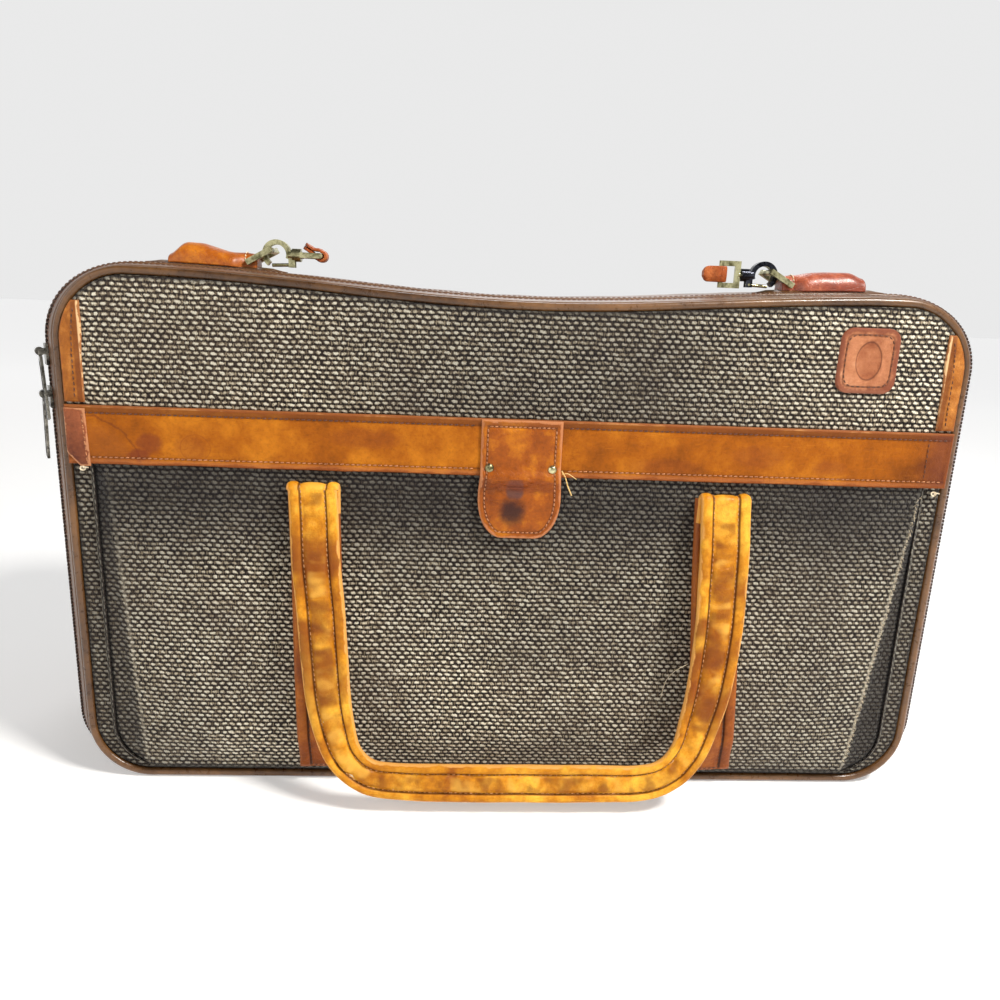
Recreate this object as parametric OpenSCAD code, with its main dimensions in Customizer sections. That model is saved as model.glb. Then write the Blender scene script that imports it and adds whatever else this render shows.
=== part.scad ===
// Soft-sided travel case in woven cloth and saddle leather, standing on its long side.
// A zip runs round the left, top and right of the case, and the front opens as a lid
// that folds down along the bottom edge. The lid carries a flap pocket with a snap tab.
// X runs to the right, Y to the back and Z up. The origin is the centre of the base face.

/* [Case] */
// Width across the edge piping
case_w = 560; // [440:5:680]
// Height of the top corners
case_h = 334; // [290:2:400]
// Depth over the cloth of the front and back panels
case_d = 200; // [160:5:260]
// Radius of the two top corners
top_corner_r = 45; // [36:1:56]
// Radius of the two bottom corners
bottom_corner_r = 40; // [32:1:50]
// How far the middle of the top edge has sagged
top_sag = 11; // [0:1:16]
// How far the side walls belly out past the piping
side_bulge = 18; // [16:1:26]
// Share of that belly on the top wall
top_share = 0.2; // [0:0.05:0.25]
// Slope of the side wall just behind the front piping
side_flare = 0.65; // [0.5:0.05:0.75]
// Distance from the front face back to the zip
lid_depth = 18; // [16:1:24]

/* [Cloth and boards] */
// Thickness of the woven cloth
cloth_t = 2; // [1.5:0.1:2.5]
// Thickness of the stiffening boards
board_t = 2; // [1.5:0.5:3]
// Thickness of the base board
base_board_t = 3; // [2:0.5:4]
// Thickness of the lining
lining_t = 1; // [0.8:0.1:1.5]
// Radius of the edge piping
piping_r = 2.5; // [2:0.1:3]
// Radius of the spring wire frames
wire_r = 1.3; // [1:0.1:1.6]

/* [Zip] */
// Width of each row of zip teeth
coil_w = 2.2; // [1.8:0.1:2.6]
// Thickness of the zip teeth
coil_t = 1.8; // [1.4:0.1:2.2]
// Gap between the two rows of teeth, where the slider's neck runs
coil_gap = 1.4; // [1.2:0.1:1.8]
// Width of the zip tape
tape_w = 12; // [9:1:14]
// Thickness of the zip tape
tape_t = 0.8; // [0.6:0.1:1]
// Height of the upper slider
slider_high_z = 280; // [270:1:282]
// Height of the lower slider
slider_low_z = 254; // [240:1:256]
// Length of a slider's pull
pull_len = 42; // [36:1:44]

/* [Pocket] */
// Height of the lower edge of the leather band
band_z = 217; // [200:1:222]
// Width of the leather band
band_w = 36; // [30:1:38]
// Thickness of the band, tab and badge leather
leather_t = 2; // [1.6:0.1:2.4]
// Gap inside the empty pocket
pocket_gap = 2.5; // [2:0.1:3]
// Width of the centre tab
tab_w = 50; // [40:1:56]
// Length of the tab's free end below its fold
tab_flap_len = 41; // [36:1:46]
// Width of the badge
badge_w = 38; // [30:1:44]
// Height of the badge
badge_h = 40; // [30:1:44]

/* [Handles] */
// Distance from the centre line to each handle strap
strap_x = 128; // [110:1:150]
// Width of the handle straps
strap_w = 32; // [26:1:36]
// Thickness of the padded handle loop
handle_t = 8; // [6:0.5:9]
// Thickness of the flat strap sewn to the panel
strap_t = 3; // [2:0.5:4]
// Height of the fold where the loop leaves the sewn strap
fold_z = 211; // [196:1:212]
// Angle of the hanging loop from the vertical
handle_tilt = 7.5; // [6:0.5:9]
// Outer radius of the loop's lower corners
handle_corner_r = 50; // [42:1:56]
// Thickness of the handle's inner core
core_t = 4; // [3:0.5:4.5]

/* [Top fittings] */
// Distance from the centre line to the ring bar in each hood
ring_x = 172; // [160:1:180]
// Length of each leather hood
hood_len = 40; // [30:1:44]
// Height of each leather hood above the top
hood_h = 10.5; // [9:0.5:12]
// Width of each hood, front to back
hood_w = 28; // [24:1:32]
// Distance from the zip back to the fittings' centre line
fitting_back = 24; // [22:1:30]

/* [Hidden] */
$fn = 48;

half_w = case_w / 2;
front_y = -case_d / 2;
back_y = case_d / 2;
zip_y = front_y + lid_depth;
touch = 0.2;           // gap left between neighbouring soft pieces
seam_y = 3.8;          // where a gusset starts behind its piping
panel_inset = 2 * piping_r + touch;
flare_end = lid_depth + 5;
flat_x = half_w - bottom_corner_r;
top_flat_x = half_w - top_corner_r;

// ---- the case outline, as points with the direction that faces outward ----

function arc(cx, cz, r, a0, a1, n) =
    [for (i = [0:n]) let (a = a0 + (a1 - a0) * i / n) [cx + r * cos(a), cz + r * sin(a), a]];
function sag_z(x) = case_h - top_sag * (1 + cos(180 * x / top_flat_x)) / 2;
function sag_slope(x) = top_sag * PI / (2 * top_flat_x) * sin(180 * x / top_flat_x);
function top_run(n) = [for (i = [1:n - 1]) let (x = top_flat_x * (2 * i / n - 1))
    [x, sag_z(x), atan2(1, -sag_slope(x))]];
function side_run(side, n) = [for (i = [1:n - 1])
    let (z0 = bottom_corner_r, z1 = case_h - top_corner_r, t = side < 0 ? i / n : 1 - i / n)
    [side * half_w, z0 + (z1 - z0) * t, side < 0 ? 180 : 0]];
// Left, top and right of the case, from the base up and over and down again
wrap = concat(arc(-flat_x, bottom_corner_r, bottom_corner_r, 270, 180, 8),
    side_run(-1, 3),
    arc(-top_flat_x, case_h - top_corner_r, top_corner_r, 180, 90, 8),
    top_run(16),
    arc(top_flat_x, case_h - top_corner_r, top_corner_r, 90, 0, 8),
    side_run(1, 3),
    arc(flat_x, bottom_corner_r, bottom_corner_r, 0, -90, 8));

// Belly of the side walls at a distance from the nearer panel
flare_off = side_flare * flare_end;
function belly(d) = d < flare_end ? side_flare * d
    : flare_off + (side_bulge - flare_off) * sin(90 * (d - flare_end) / (case_d / 2 - flare_end));
function belly_at(y) = belly(min(y - front_y, back_y - y));
function facing(a) = pow(cos(a), 2) + top_share * pow(max(sin(a), 0), 2);
function skin(p, y, inset) = let (o = belly_at(y) * facing(p[2]) - inset)
    [p[0] + o * cos(p[2]), y, p[1] + o * sin(p[2])];
function top_z(x, y) = sag_z(x) + belly_at(y) * top_share;

// A sheet that follows the wrap between two insets, through the given depths
module sheet(path, ys, outer, inner, closed = false) {
    rows = len(ys);
    cols = len(path);
    spans = closed ? cols - 1 : cols - 2;
    function at(k, r, c) = (k * rows + r) * cols + c % cols;
    function quad(a, b, c, d) = [[a, b, c], [a, c, d]];
    pts = [for (k = [0:1]) for (y = ys) for (p = path) skin(p, y, k == 0 ? outer : inner)];
    skins = [for (r = [0:rows - 2]) for (c = [0:spans]) for (t = concat(
        quad(at(0, r, c), at(0, r + 1, c), at(0, r + 1, c + 1), at(0, r, c + 1)),
        quad(at(1, r, c), at(1, r, c + 1), at(1, r + 1, c + 1), at(1, r + 1, c)))) t];
    edges = [for (c = [0:spans]) for (t = concat(
        quad(at(0, 0, c), at(0, 0, c + 1), at(1, 0, c + 1), at(1, 0, c)),
        quad(at(0, rows - 1, c), at(1, rows - 1, c),
            at(1, rows - 1, c + 1), at(0, rows - 1, c + 1)))) t];
    ends = closed ? [] : [for (r = [0:rows - 2]) for (t = concat(
        quad(at(0, r, 0), at(1, r, 0), at(1, r + 1, 0), at(0, r + 1, 0)),
        quad(at(0, r, cols - 1), at(0, r + 1, cols - 1),
            at(1, r + 1, cols - 1), at(1, r, cols - 1)))) t];
    polyhedron(points = pts, faces = concat(skins, edges, ends));
}

// A round cord that follows the whole outline at one depth, moved out by a share of the belly
module cord_ring(y, inset, r, sides, swell = 0) {
    n = len(wrap);
    pts = [for (p = wrap) for (k = [0:sides - 1])
        let (o = swell * facing(p[2]) - inset + r * cos(360 * k / sides))
        [p[0] + o * cos(p[2]), y + r * sin(360 * k / sides), p[1] + o * sin(p[2])]];
    function at(i, k) = (i % n) * sides + k % sides;
    faces = [for (i = [0:n - 1]) for (k = [0:sides - 1])
        for (t = [[at(i, k), at(i, k + 1), at(i + 1, k + 1)],
            [at(i, k), at(i + 1, k + 1), at(i + 1, k)]]) t];
    polyhedron(points = pts, faces = faces);
}

// A flat plate in the case's outline, from one depth towards the back
module plate(y, t, inset) {
    outline = [for (p = wrap) [p[0] - inset * cos(p[2]), p[1] - inset * sin(p[2])]];
    translate([0, y + t, 0])
        rotate([90, 0, 0])
            linear_extrude(t) polygon(outline);
}

// Stand a flat drawing up, facing the front, from one depth towards the back
module upright(y, t) {
    translate([0, y + t, 0])
        rotate([90, 0, 0])
            linear_extrude(t) children();
}

module rounded(w, h, r) {
    union() {
        translate([-w / 2 + r, 0]) square([w - 2 * r, h]);
        translate([-w / 2, r]) square([w, h - 2 * r]);
        for (x = [-1, 1])
            for (z = [r, h - r])
                translate([x * (w / 2 - r), z]) circle(r);
    }
}

// ---- shell ----

teeth_back = zip_y + coil_gap / 2;
cloth_back = teeth_back + coil_w + touch;
teeth_front = zip_y - coil_gap / 2;
cloth_front = teeth_front - coil_w - touch;
lining_inset = cloth_t + base_board_t + 2 * touch + 0.8;

module shell_gusset() {
    color("peru")
        sheet(wrap, [cloth_back, front_y + flare_end, -case_d / 4, 0, case_d / 4,
            back_y - flare_end, back_y - seam_y], 0, cloth_t);
}

module base_panel() {
    color("peru")
        translate([-flat_x, zip_y + touch, 0])
            cube([2 * flat_x, back_y - seam_y - zip_y - touch, cloth_t]);
}

module back_panel() {
    color("rosybrown") plate(back_y - cloth_t, cloth_t, panel_inset);
}

module back_board() {
    color("tan") plate(back_y - cloth_t - touch - board_t, board_t, panel_inset + 4);
}

module base_board() {
    color("tan")
        translate([-flat_x + 4, zip_y + 4, cloth_t + touch])
            cube([2 * flat_x - 8, case_d - lid_depth - 16, base_board_t]);
}

lining_back_y = back_y - cloth_t - board_t - 3 * touch - lining_t;

module lining_walls() {
    color("khaki")
        sheet(wrap, [cloth_back + tape_w, front_y + flare_end + tape_w, -case_d / 4, 0,
            case_d / 4, back_y - flare_end, lining_back_y - touch],
            lining_inset, lining_inset + lining_t, closed = true);
}

module lining_back() {
    color("khaki") plate(lining_back_y, lining_t, lining_inset);
}

module rear_piping() {
    color("sandybrown") cord_ring(back_y - 1, piping_r, piping_r, 8);
}

rear_wire_y = back_y - cloth_t - board_t - 3.5;

module rear_frame_wire() {
    color("gray")
        cord_ring(rear_wire_y, cloth_t + touch + wire_r, wire_r, 6, belly_at(rear_wire_y));
}

module shell_zip_tape() {
    color("saddlebrown")
        sheet(wrap, [teeth_back, front_y + flare_end, teeth_back + tape_w],
            cloth_t + touch, cloth_t + touch + tape_t);
}

module shell_zip_teeth() {
    color("dimgray") sheet(wrap, [teeth_back, teeth_back + coil_w], cloth_t - coil_t, cloth_t);
}

// ---- lid ----

module lid_gusset() {
    color("peru") sheet(wrap, [front_y + seam_y, cloth_front], 0, cloth_t);
}

module lid_base() {
    color("peru")
        translate([-flat_x, front_y + seam_y, 0])
            cube([2 * flat_x, lid_depth - seam_y - touch, cloth_t]);
}

module front_panel() {
    color("rosybrown") plate(front_y, cloth_t, panel_inset);
}

upper_z = band_z + band_w - 10;
upper_t = cloth_t;

// Woven cloth above the band
module upper_panel() {
    color("rosybrown")
        intersection() {
            plate(front_y - touch - upper_t, upper_t, panel_inset);
            translate([-half_w, front_y - 2 * upper_t, upper_z])
                cube([case_w, 4 * upper_t, case_h]);
        }
}

module front_board() {
    color("tan") plate(front_y + cloth_t + touch, board_t, panel_inset + 4);
}

module lid_lining() {
    color("khaki")
        plate(front_y + cloth_t + board_t + 2 * touch, lining_t, panel_inset + 2);
}

module front_piping() {
    color("sandybrown") cord_ring(front_y + 1, piping_r, piping_r, 8);
}

front_wire_y = front_y + cloth_t + board_t + lining_t + 2.5;

module front_frame_wire() {
    color("gray")
        cord_ring(front_wire_y, cloth_t + touch + wire_r, wire_r, 6, belly_at(front_wire_y));
}

module lid_zip_tape() {
    color("saddlebrown")
        sheet(wrap, [teeth_front - tape_w + 4, teeth_front],
            cloth_t + touch, cloth_t + touch + tape_t);
}

module lid_zip_teeth() {
    color("dimgray") sheet(wrap, [teeth_front - coil_w, teeth_front], cloth_t - coil_t, cloth_t);
}

pocket_front = front_y - touch - pocket_gap - cloth_t;
pocket_low = 9;
pocket_top = upper_z - 3;
pocket_w = case_w - 36;
pocket_rim = 4;

// Pocket front, standing off the panel on a rim along its sides and bottom
module pocket_panel() {
    color("rosybrown")
        difference() {
            upright(pocket_front, cloth_t + pocket_gap)
                translate([0, pocket_low])
                    pocket_outline(pocket_w, pocket_top - pocket_low, 30);
            upright(pocket_front + cloth_t, pocket_gap + 1)
                translate([0, pocket_low + pocket_rim])
                    pocket_outline(pocket_w - 2 * pocket_rim, pocket_top - pocket_low, 28);
        }
}

// Square at the top, with round bottom corners
module pocket_outline(w, h, r) {
    union() {
        translate([-w / 2, r]) square([w, h - r]);
        translate([-w / 2 + r, 0]) square([w - 2 * r, h]);
        for (x = [-1, 1]) translate([x * (w / 2 - r), r]) circle(r);
    }
}

band_y = pocket_front - touch - leather_t;
band_half = half_w - panel_inset - 1;

// Leather band over the pocket's mouth, sewn to the cloth above along its top edge
module pocket_band() {
    color("chocolate")
        union() {
            translate([-band_half, band_y, band_z]) cube([2 * band_half, leather_t, band_w]);
            translate([-band_half, band_y, band_z + band_w - 5])
                cube([2 * band_half, front_y - 2 * touch - upper_t - band_y, 5]);
        }
}

trim_w = 13;
trim_z = band_z + band_w + 1;
trim_top = case_h - 14;

module side_trim(side) {
    x1 = side * (half_w - panel_inset - 0.5);
    x0 = x1 - side * trim_w;
    color("chocolate")
        upright(front_y - upper_t - 2 * touch - 1.4, 1.4)
            polygon([[x0, trim_z], [x1, trim_z], [x1, trim_top - top_corner_r / 2],
                [x1 - side * 3, trim_top - top_corner_r / 3], [x0 - side * 1, trim_top - 12]]);
}

module side_trim_left() {
    side_trim(-1);
}

module side_trim_right() {
    side_trim(1);
}

badge_x = 212;
badge_z = 276;

module badge() {
    color("sienna")
        upright(front_y - upper_t - 2 * touch - leather_t, leather_t)
            translate([badge_x, badge_z]) rounded(badge_w, badge_h, 6);
}

tab_y = band_y - touch - leather_t;
tab_fold_z = band_z + 2;
rivet_gap = 39;
rivet_z = band_z + 5.5;

module tab_top() {
    color("darkorange")
        difference() {
            translate([-tab_w / 2, tab_y, tab_fold_z])
                cube([tab_w, leather_t, band_w - 2 - 0.5]);
            rivet_shanks(1.05);
        }
}

module rivet_shanks(r) {
    for (x = [-1, 1])
        translate([x * rivet_gap / 2, tab_y - 1, rivet_z])
            rotate([-90, 0, 0]) cylinder(h = leather_t + 1, r = r);
}

module tab_rivets() {
    color("darkkhaki")
        union() {
            rivet_shanks(1);
            for (x = [-1, 1])
                translate([x * rivet_gap / 2, tab_y - 1.3, rivet_z])
                    rotate([-90, 0, 0]) cylinder(h = 1.2, r = 2.9);
        }
}

// Free end of the tab, which lifts about its fold
module tab_flap() {
    r = tab_w / 2 - 8;
    color("darkorange")
        upright(tab_y, leather_t)
            translate([0, tab_fold_z - 0.4 - tab_flap_len])
                union() {
                    translate([-tab_w / 2 - 1, r + 6]) square([tab_w + 2, tab_flap_len - r - 6]);
                    polygon([[-tab_w / 2 - 1, r + 6], [-r, 0], [r, 0], [tab_w / 2 + 1, r + 6]]);
                }
}

snap_z = tab_fold_z - 15;
snap_r = 8;

module snap_stud() {
    color("darkkhaki")
        translate([0, tab_y + leather_t, snap_z])
            rotate([-90, 0, 0])
                cylinder(h = (pocket_front - tab_y - leather_t) / 2 - touch, r = snap_r);
}

module snap_socket() {
    h = (pocket_front - tab_y - leather_t) / 2 - touch;
    color("darkkhaki")
        translate([0, pocket_front - h, snap_z]) rotate([-90, 0, 0]) cylinder(h = h, r = snap_r);
}

// ---- handles: the front one as drawn, the rear one turned half a turn about Z ----

fold_y = pocket_front - strap_t - handle_t / 2 - 1;
handle_drop = (fold_z - 0.5 - handle_t / 2 * sin(handle_tilt)) / cos(handle_tilt);
strap_foot = 12;
foot_splay = 8;

module handle_straps(face_y) {
    top = fold_z + 2;
    for (side = [-1, 1])
        upright(face_y - strap_t, strap_t)
            polygon([for (p = [[-strap_w / 2, top, 0], [strap_w / 2, top, 0],
                [strap_w / 2, strap_foot, 1], [-strap_w / 2, strap_foot, 1]])
                [side * (strap_x + foot_splay * p[2]) + p[0], p[1]]]);
}

module front_handle_straps() {
    color("darkgoldenrod") handle_straps(pocket_front);
}

module rear_handle_straps() {
    color("darkgoldenrod") rotate([0, 0, 180]) handle_straps(front_y);
}

// U-shaped strap in its own plane, hanging from z = 0, with its width from e to strap_w - e
module loop_outline(e) {
    w = strap_w - 2 * e;
    out = strap_x + strap_w / 2 - e;
    r = handle_corner_r - e;
    difference() {
        union() {
            translate([-out, -handle_drop + e + r]) square([2 * out, handle_drop - e - r - e]);
            translate([-out + r, -handle_drop + e]) square([2 * (out - r), handle_drop - 2 * e]);
            for (x = [-1, 1])
                translate([x * (out - r), -handle_drop + e + r]) circle(r);
        }
        loop_hole(out - w, -handle_drop + e + w, r - w);
    }
}

module loop_hole(half, low, r) {
    union() {
        translate([-half, low + r]) square([2 * half, handle_drop]);
        translate([-half + r, low]) square([2 * (half - r), handle_drop]);
        for (x = [-1, 1]) translate([x * (half - r), low + r]) circle(r);
    }
}

module hang(y) {
    translate([0, y, fold_z]) rotate([-handle_tilt, 0, 0]) children();
}

core_edge = 4;

module handle_loop() {
    difference() {
        union() {
            upright(-handle_t / 2, handle_t) loop_outline(0);
            for (x = [-1, 1])
                translate([x * strap_x - strap_w / 2, 0, 0])
                    rotate([0, 90, 0]) cylinder(h = strap_w, r = handle_t / 2);
        }
        upright(-core_t / 2, core_t) loop_outline(core_edge);
    }
}

module handle_core() {
    upright(-core_t / 2 + 0.1, core_t - touch) loop_outline(core_edge + 0.1);
}

module front_handle() {
    color("goldenrod") hang(fold_y) handle_loop();
}

module front_handle_core() {
    color("wheat") hang(fold_y) handle_core();
}

rear_fold_y = front_y - strap_t - handle_t / 2 - 1;

module rear_handle() {
    color("goldenrod") rotate([0, 0, 180]) hang(rear_fold_y) handle_loop();
}

module rear_handle_core() {
    color("wheat") rotate([0, 0, 180]) hang(rear_fold_y) handle_core();
}

// ---- top fittings, drawn from the ring bar: u towards the case's centre, v up ----

fitting_y = zip_y + fitting_back;
bar_r = 2;
knuckle_r = 4.5;
knuckle_half = 6.9;
ring_z = top_z(ring_x, fitting_y) + knuckle_r + 0.5;
far_bar = [12.5, 7];
ring_half = 9.2;
ring_side = 1.7;
hook_c = [15.5, 5];
hook_in = 6;
hook_out = 9;
hook_half = 2.5;
axis_v = hook_c[1];
eye_half = 8.5;
eye_u = 31;
eye_len = 14;
eye_bar = 1.6;
eye_bar_u = eye_u + eye_len - eye_bar;
tongue_len = 15;
tongue_w = 10;
gate_u = 24.8;
gate_v = -1;
gate_pin_r = 0.8;
head_r = 3;

// Places a fitting on one side: u, width and v become X, Y and Z
module fitting(side) {
    translate([side * ring_x, fitting_y, ring_z])
        rotate([0, 0, side > 0 ? 180 : 0]) children();
}

module hood(side) {
    dome_r = (pow(hood_len / 2, 2) + pow(hood_h, 2)) / (2 * hood_h);
    floor_z = top_z(ring_x + hood_len, fitting_y) + 0.6;
    mid_x = ring_x + 6 + hood_len / 2;
    color("sienna")
        difference() {
            union() {
                intersection() {
                    translate([side * mid_x, fitting_y + hood_w / 2, floor_z + hood_h - dome_r])
                        rotate([90, 0, 0]) cylinder(h = hood_w, r = dome_r, $fn = 96);
                    translate([side * mid_x - hood_len / 2, fitting_y - hood_w, floor_z])
                        cube([hood_len, 2 * hood_w, hood_h + 1]);
                }
                translate([side * ring_x, fitting_y + knuckle_half, ring_z])
                    rotate([90, 0, 0]) cylinder(h = 2 * knuckle_half, r = knuckle_r);
                translate([min(side * ring_x, side * (ring_x + 12)), fitting_y - knuckle_half,
                    floor_z])
                    cube([12, 2 * knuckle_half, 4]);
            }
            translate([side * ring_x, fitting_y + hood_w, ring_z])
                rotate([90, 0, 0]) cylinder(h = 2 * hood_w, r = bar_r + 0.08);
            for (s = [-1, 1])
                translate([side * ring_x, fitting_y + s * ring_half - bar_r - 0.4, ring_z])
                    rotate([-90, 0, 0]) cylinder(h = 2 * bar_r + 0.8, r = knuckle_r + 2);
        }
}

module hood_left() {
    hood(-1);
}

module hood_right() {
    hood(1);
}

// Rectangular wire ring: one bar turns in the hood, the other carries the hook
module ring(side) {
    run = sqrt(pow(far_bar[0], 2) + pow(far_bar[1], 2));
    rise = atan2(far_bar[1], far_bar[0]);
    color("darkkhaki")
        fitting(side)
            rotate([0, -rise, 0])
                union() {
                    for (u = [0, run])
                        translate([u, ring_half, 0])
                            rotate([90, 0, 0]) cylinder(h = 2 * ring_half, r = bar_r);
                    for (s = [-1, 1])
                        translate([-ring_side, s * ring_half - ring_side, -ring_side])
                            cube([run + 2 * ring_side, 2 * ring_side, 2 * ring_side]);
                }
}

module ring_left() {
    ring(-1);
}

module ring_right() {
    ring(1);
}

hook_open = 50;
gate_drop = 20;

// Snap hook: an open bow, then a shank with a barrel that the swivel eye turns in
module hook(side) {
    color("dimgray")
        fitting(side)
            difference() {
                union() {
                    translate([hook_c[0], hook_half, hook_c[1]])
                        rotate([90, 0, 0])
                            difference() {
                                cylinder(h = 2 * hook_half, r = hook_out);
                                translate([0, 0, -1]) cylinder(h = 2 * hook_half + 2, r = hook_in);
                                translate([0, 0, -1])
                                    linear_extrude(2 * hook_half + 2)
                                        polygon([[0, 0], [-20 * cos(hook_open), -20 * sin(hook_open)],
                                            [0, -30], [20 * cos(gate_drop), -20 * sin(gate_drop)]]);
                            }
                    translate([hook_c[0] + hook_in + 1, 0, axis_v])
                        rotate([0, 90, 0]) cylinder(h = 4, r = 3.2);
                    translate([hook_c[0] + hook_in + 3.5, 0, axis_v])
                        rotate([0, 90, 0]) cylinder(h = 5.5, r = 4);
                    for (w = [-hook_half, hook_half - 0.8])
                        translate([gate_u - 2, w, gate_v - 1.6]) cube([4, 0.8, 5.8]);
                }
                translate([eye_u - 6, 0, axis_v])
                    rotate([0, 90, 0]) cylinder(h = 8, r = bar_r + 0.06);
                translate([eye_u - 6, 0, axis_v])
                    rotate([0, 90, 0]) cylinder(h = 2, r = head_r + 0.06);
                translate([gate_u, 2 * hook_half, gate_v])
                    rotate([90, 0, 0]) cylinder(h = 4 * hook_half, r = gate_pin_r + 0.08);
            }
}

module hook_left() {
    hook(-1);
}

module hook_right() {
    hook(1);
}

// Sprung bar that closes the hook's mouth, with a thumb knob
module gate(side) {
    tip = [hook_c[0] - 5.2, hook_c[1] - 6.7];
    run = gate_u - tip[0] - 1.9;
    fall = atan2(gate_v - tip[1], gate_u - tip[0]);
    color("darkgray")
        fitting(side)
            translate([gate_u, 0, gate_v])
                union() {
                    translate([0, hook_half - 1, 0])
                        rotate([90, 0, 0]) cylinder(h = 2 * hook_half - 2, r = 1.5);
                    translate([0, hook_half, 0])
                        rotate([90, 0, 0]) cylinder(h = 2 * hook_half, r = gate_pin_r);
                    rotate([0, 180 - fall, 0])
                        rotate([0, 90, 0]) cylinder(h = run, r = 1.1);
                }
}

module gate_left() {
    gate(-1);
}

module gate_right() {
    gate(1);
}

// Rectangular swivel eye, turned about the hook's axis by the given angle
module eye(side, turn) {
    color("darkkhaki")
        fitting(side)
            translate([0, 0, axis_v])
                rotate([turn, 0, 0])
                    union() {
                        translate([eye_u - 5.8, 0, 0])
                            rotate([0, 90, 0]) cylinder(h = 6.8, r = bar_r);
                        translate([eye_u - 5.8, 0, 0])
                            rotate([0, 90, 0]) cylinder(h = 1.6, r = head_r);
                        difference() {
                            translate([eye_u, -eye_half, -eye_bar])
                                cube([eye_len - eye_bar, 2 * eye_half, 2 * eye_bar]);
                            translate([eye_u + 2 * eye_bar, -eye_half + 2 * eye_bar, -eye_bar - 1])
                                cube([eye_len, 2 * (eye_half - 2 * eye_bar), 2 * eye_bar + 2]);
                        }
                        translate([eye_bar_u, eye_half, 0])
                            rotate([90, 0, 0]) cylinder(h = 2 * eye_half, r = eye_bar);
                    }
}

module eye_left() {
    eye(-1, 0);
}

module eye_right() {
    eye(1, 90);
}

// Leather tongue looped round the eye's far bar, folded back by the given angle
module strap_end(side, turn, fold) {
    loop_r = eye_bar + 2.2;
    color("orangered")
        fitting(side)
            translate([0, 0, axis_v])
                rotate([turn, 0, 0])
                    translate([eye_bar_u, 0, 0])
                        rotate([0, -fold, 0])
                            difference() {
                                union() {
                                    translate([0, tongue_w / 2, 0])
                                        rotate([90, 0, 0]) cylinder(h = tongue_w, r = loop_r);
                                    translate([0, -tongue_w / 2, -2.2])
                                        cube([tongue_len - tongue_w / 2, tongue_w, 4.4]);
                                    translate([tongue_len - tongue_w / 2, 0, -2.2])
                                        cylinder(h = 4.4, r = tongue_w / 2);
                                }
                                translate([0, tongue_w, 0])
                                    rotate([90, 0, 0]) cylinder(h = 2 * tongue_w, r = eye_bar + 0.1);
                            }
}

module strap_end_left() {
    strap_end(-1, 0, 150);
}

module strap_end_right() {
    strap_end(1, 90, 0);
}

// ---- zip sliders on the left side, drawn flat and turned to the wall's slope ----

slider_l = 13;
slider_w = 9;
plate_t = 1.5;
run_gap = 0.3;
slider_x = -(half_w + side_flare * lid_depth);
slider_turn = atan(side_flare);
zip_skin = cloth_t + touch + tape_t;
bridge_r = 1.3;
bridge_out = 4.2;
bridge_half = 3;
neck_t = 0.7;
pull_w = 6.5;
pull_t = 1.6;
pull_neck = 3.4;

pull_axis_x = -run_gap - plate_t - bridge_out + bridge_r + 0.1;
pull_axis_z = 1.7;

// Outward is -X in the slider's own frame
module on_zip(z) {
    translate([slider_x, zip_y, z]) rotate([0, 0, slider_turn]) children();
}

module slider(z) {
    deep = zip_skin * cos(slider_turn) + run_gap;
    color("darkkhaki")
        on_zip(z)
            union() {
                translate([-run_gap - plate_t, -slider_w / 2, -slider_l / 2])
                    cube([plate_t, slider_w, slider_l]);
                translate([deep, -slider_w / 2, -slider_l / 2])
                    cube([plate_t, slider_w, slider_l]);
                rotate([0, 0, -slider_turn])
                    translate([-2 * run_gap, -neck_t / 2, -slider_l / 2 + 1])
                        cube([zip_skin + 5 * run_gap, neck_t, slider_l - 2]);
                for (s = [-1, 1])
                    translate([-run_gap - plate_t - bridge_out, s * bridge_half - 0.6, 0])
                        cube([bridge_out + 0.5, 1.2, 2 * pull_axis_z]);
                translate([pull_axis_x, -bridge_half, pull_axis_z])
                    rotate([-90, 0, 0]) cylinder(h = 2 * bridge_half, r = bridge_r);
            }
}

module slider_high() {
    slider(slider_high_z);
}

module slider_low() {
    slider(slider_low_z);
}

pull_lean_high = -18;
pull_lean_low = 12;

// Long slotted pull on the slider's cross pin, leaning to one side
module pull(z, lean) {
    color("gainsboro")
        on_zip(z)
            translate([pull_axis_x, 0, pull_axis_z])
                difference() {
                    union() {
                        translate([0, -pull_neck / 2, 0])
                            rotate([-90, 0, 0]) cylinder(h = pull_neck, r = bridge_r + 1.3);
                        rotate([lean, 0, 0])
                            translate([-pull_t / 2, -pull_neck / 2 + 0.5, -4.5])
                                cube([pull_t, pull_neck - 1, 4.5]);
                        rotate([lean, 0, 0])
                            translate([-pull_t / 2, -pull_w / 2, -pull_len])
                                cube([pull_t, pull_w, pull_len - 4]);
                    }
                    translate([0, -5, 0])
                        rotate([-90, 0, 0]) cylinder(h = 10, r = bridge_r + 0.1);
                    rotate([lean, 0, 0])
                        translate([-pull_t, -pull_w / 2 + 1.6, -pull_len + 2.5])
                            cube([2 * pull_t, pull_w - 3.2, pull_len - 9]);
                }
}

module pull_high() {
    pull(slider_high_z, pull_lean_high);
}

module pull_low() {
    pull(slider_low_z, pull_lean_low);
}

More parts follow.
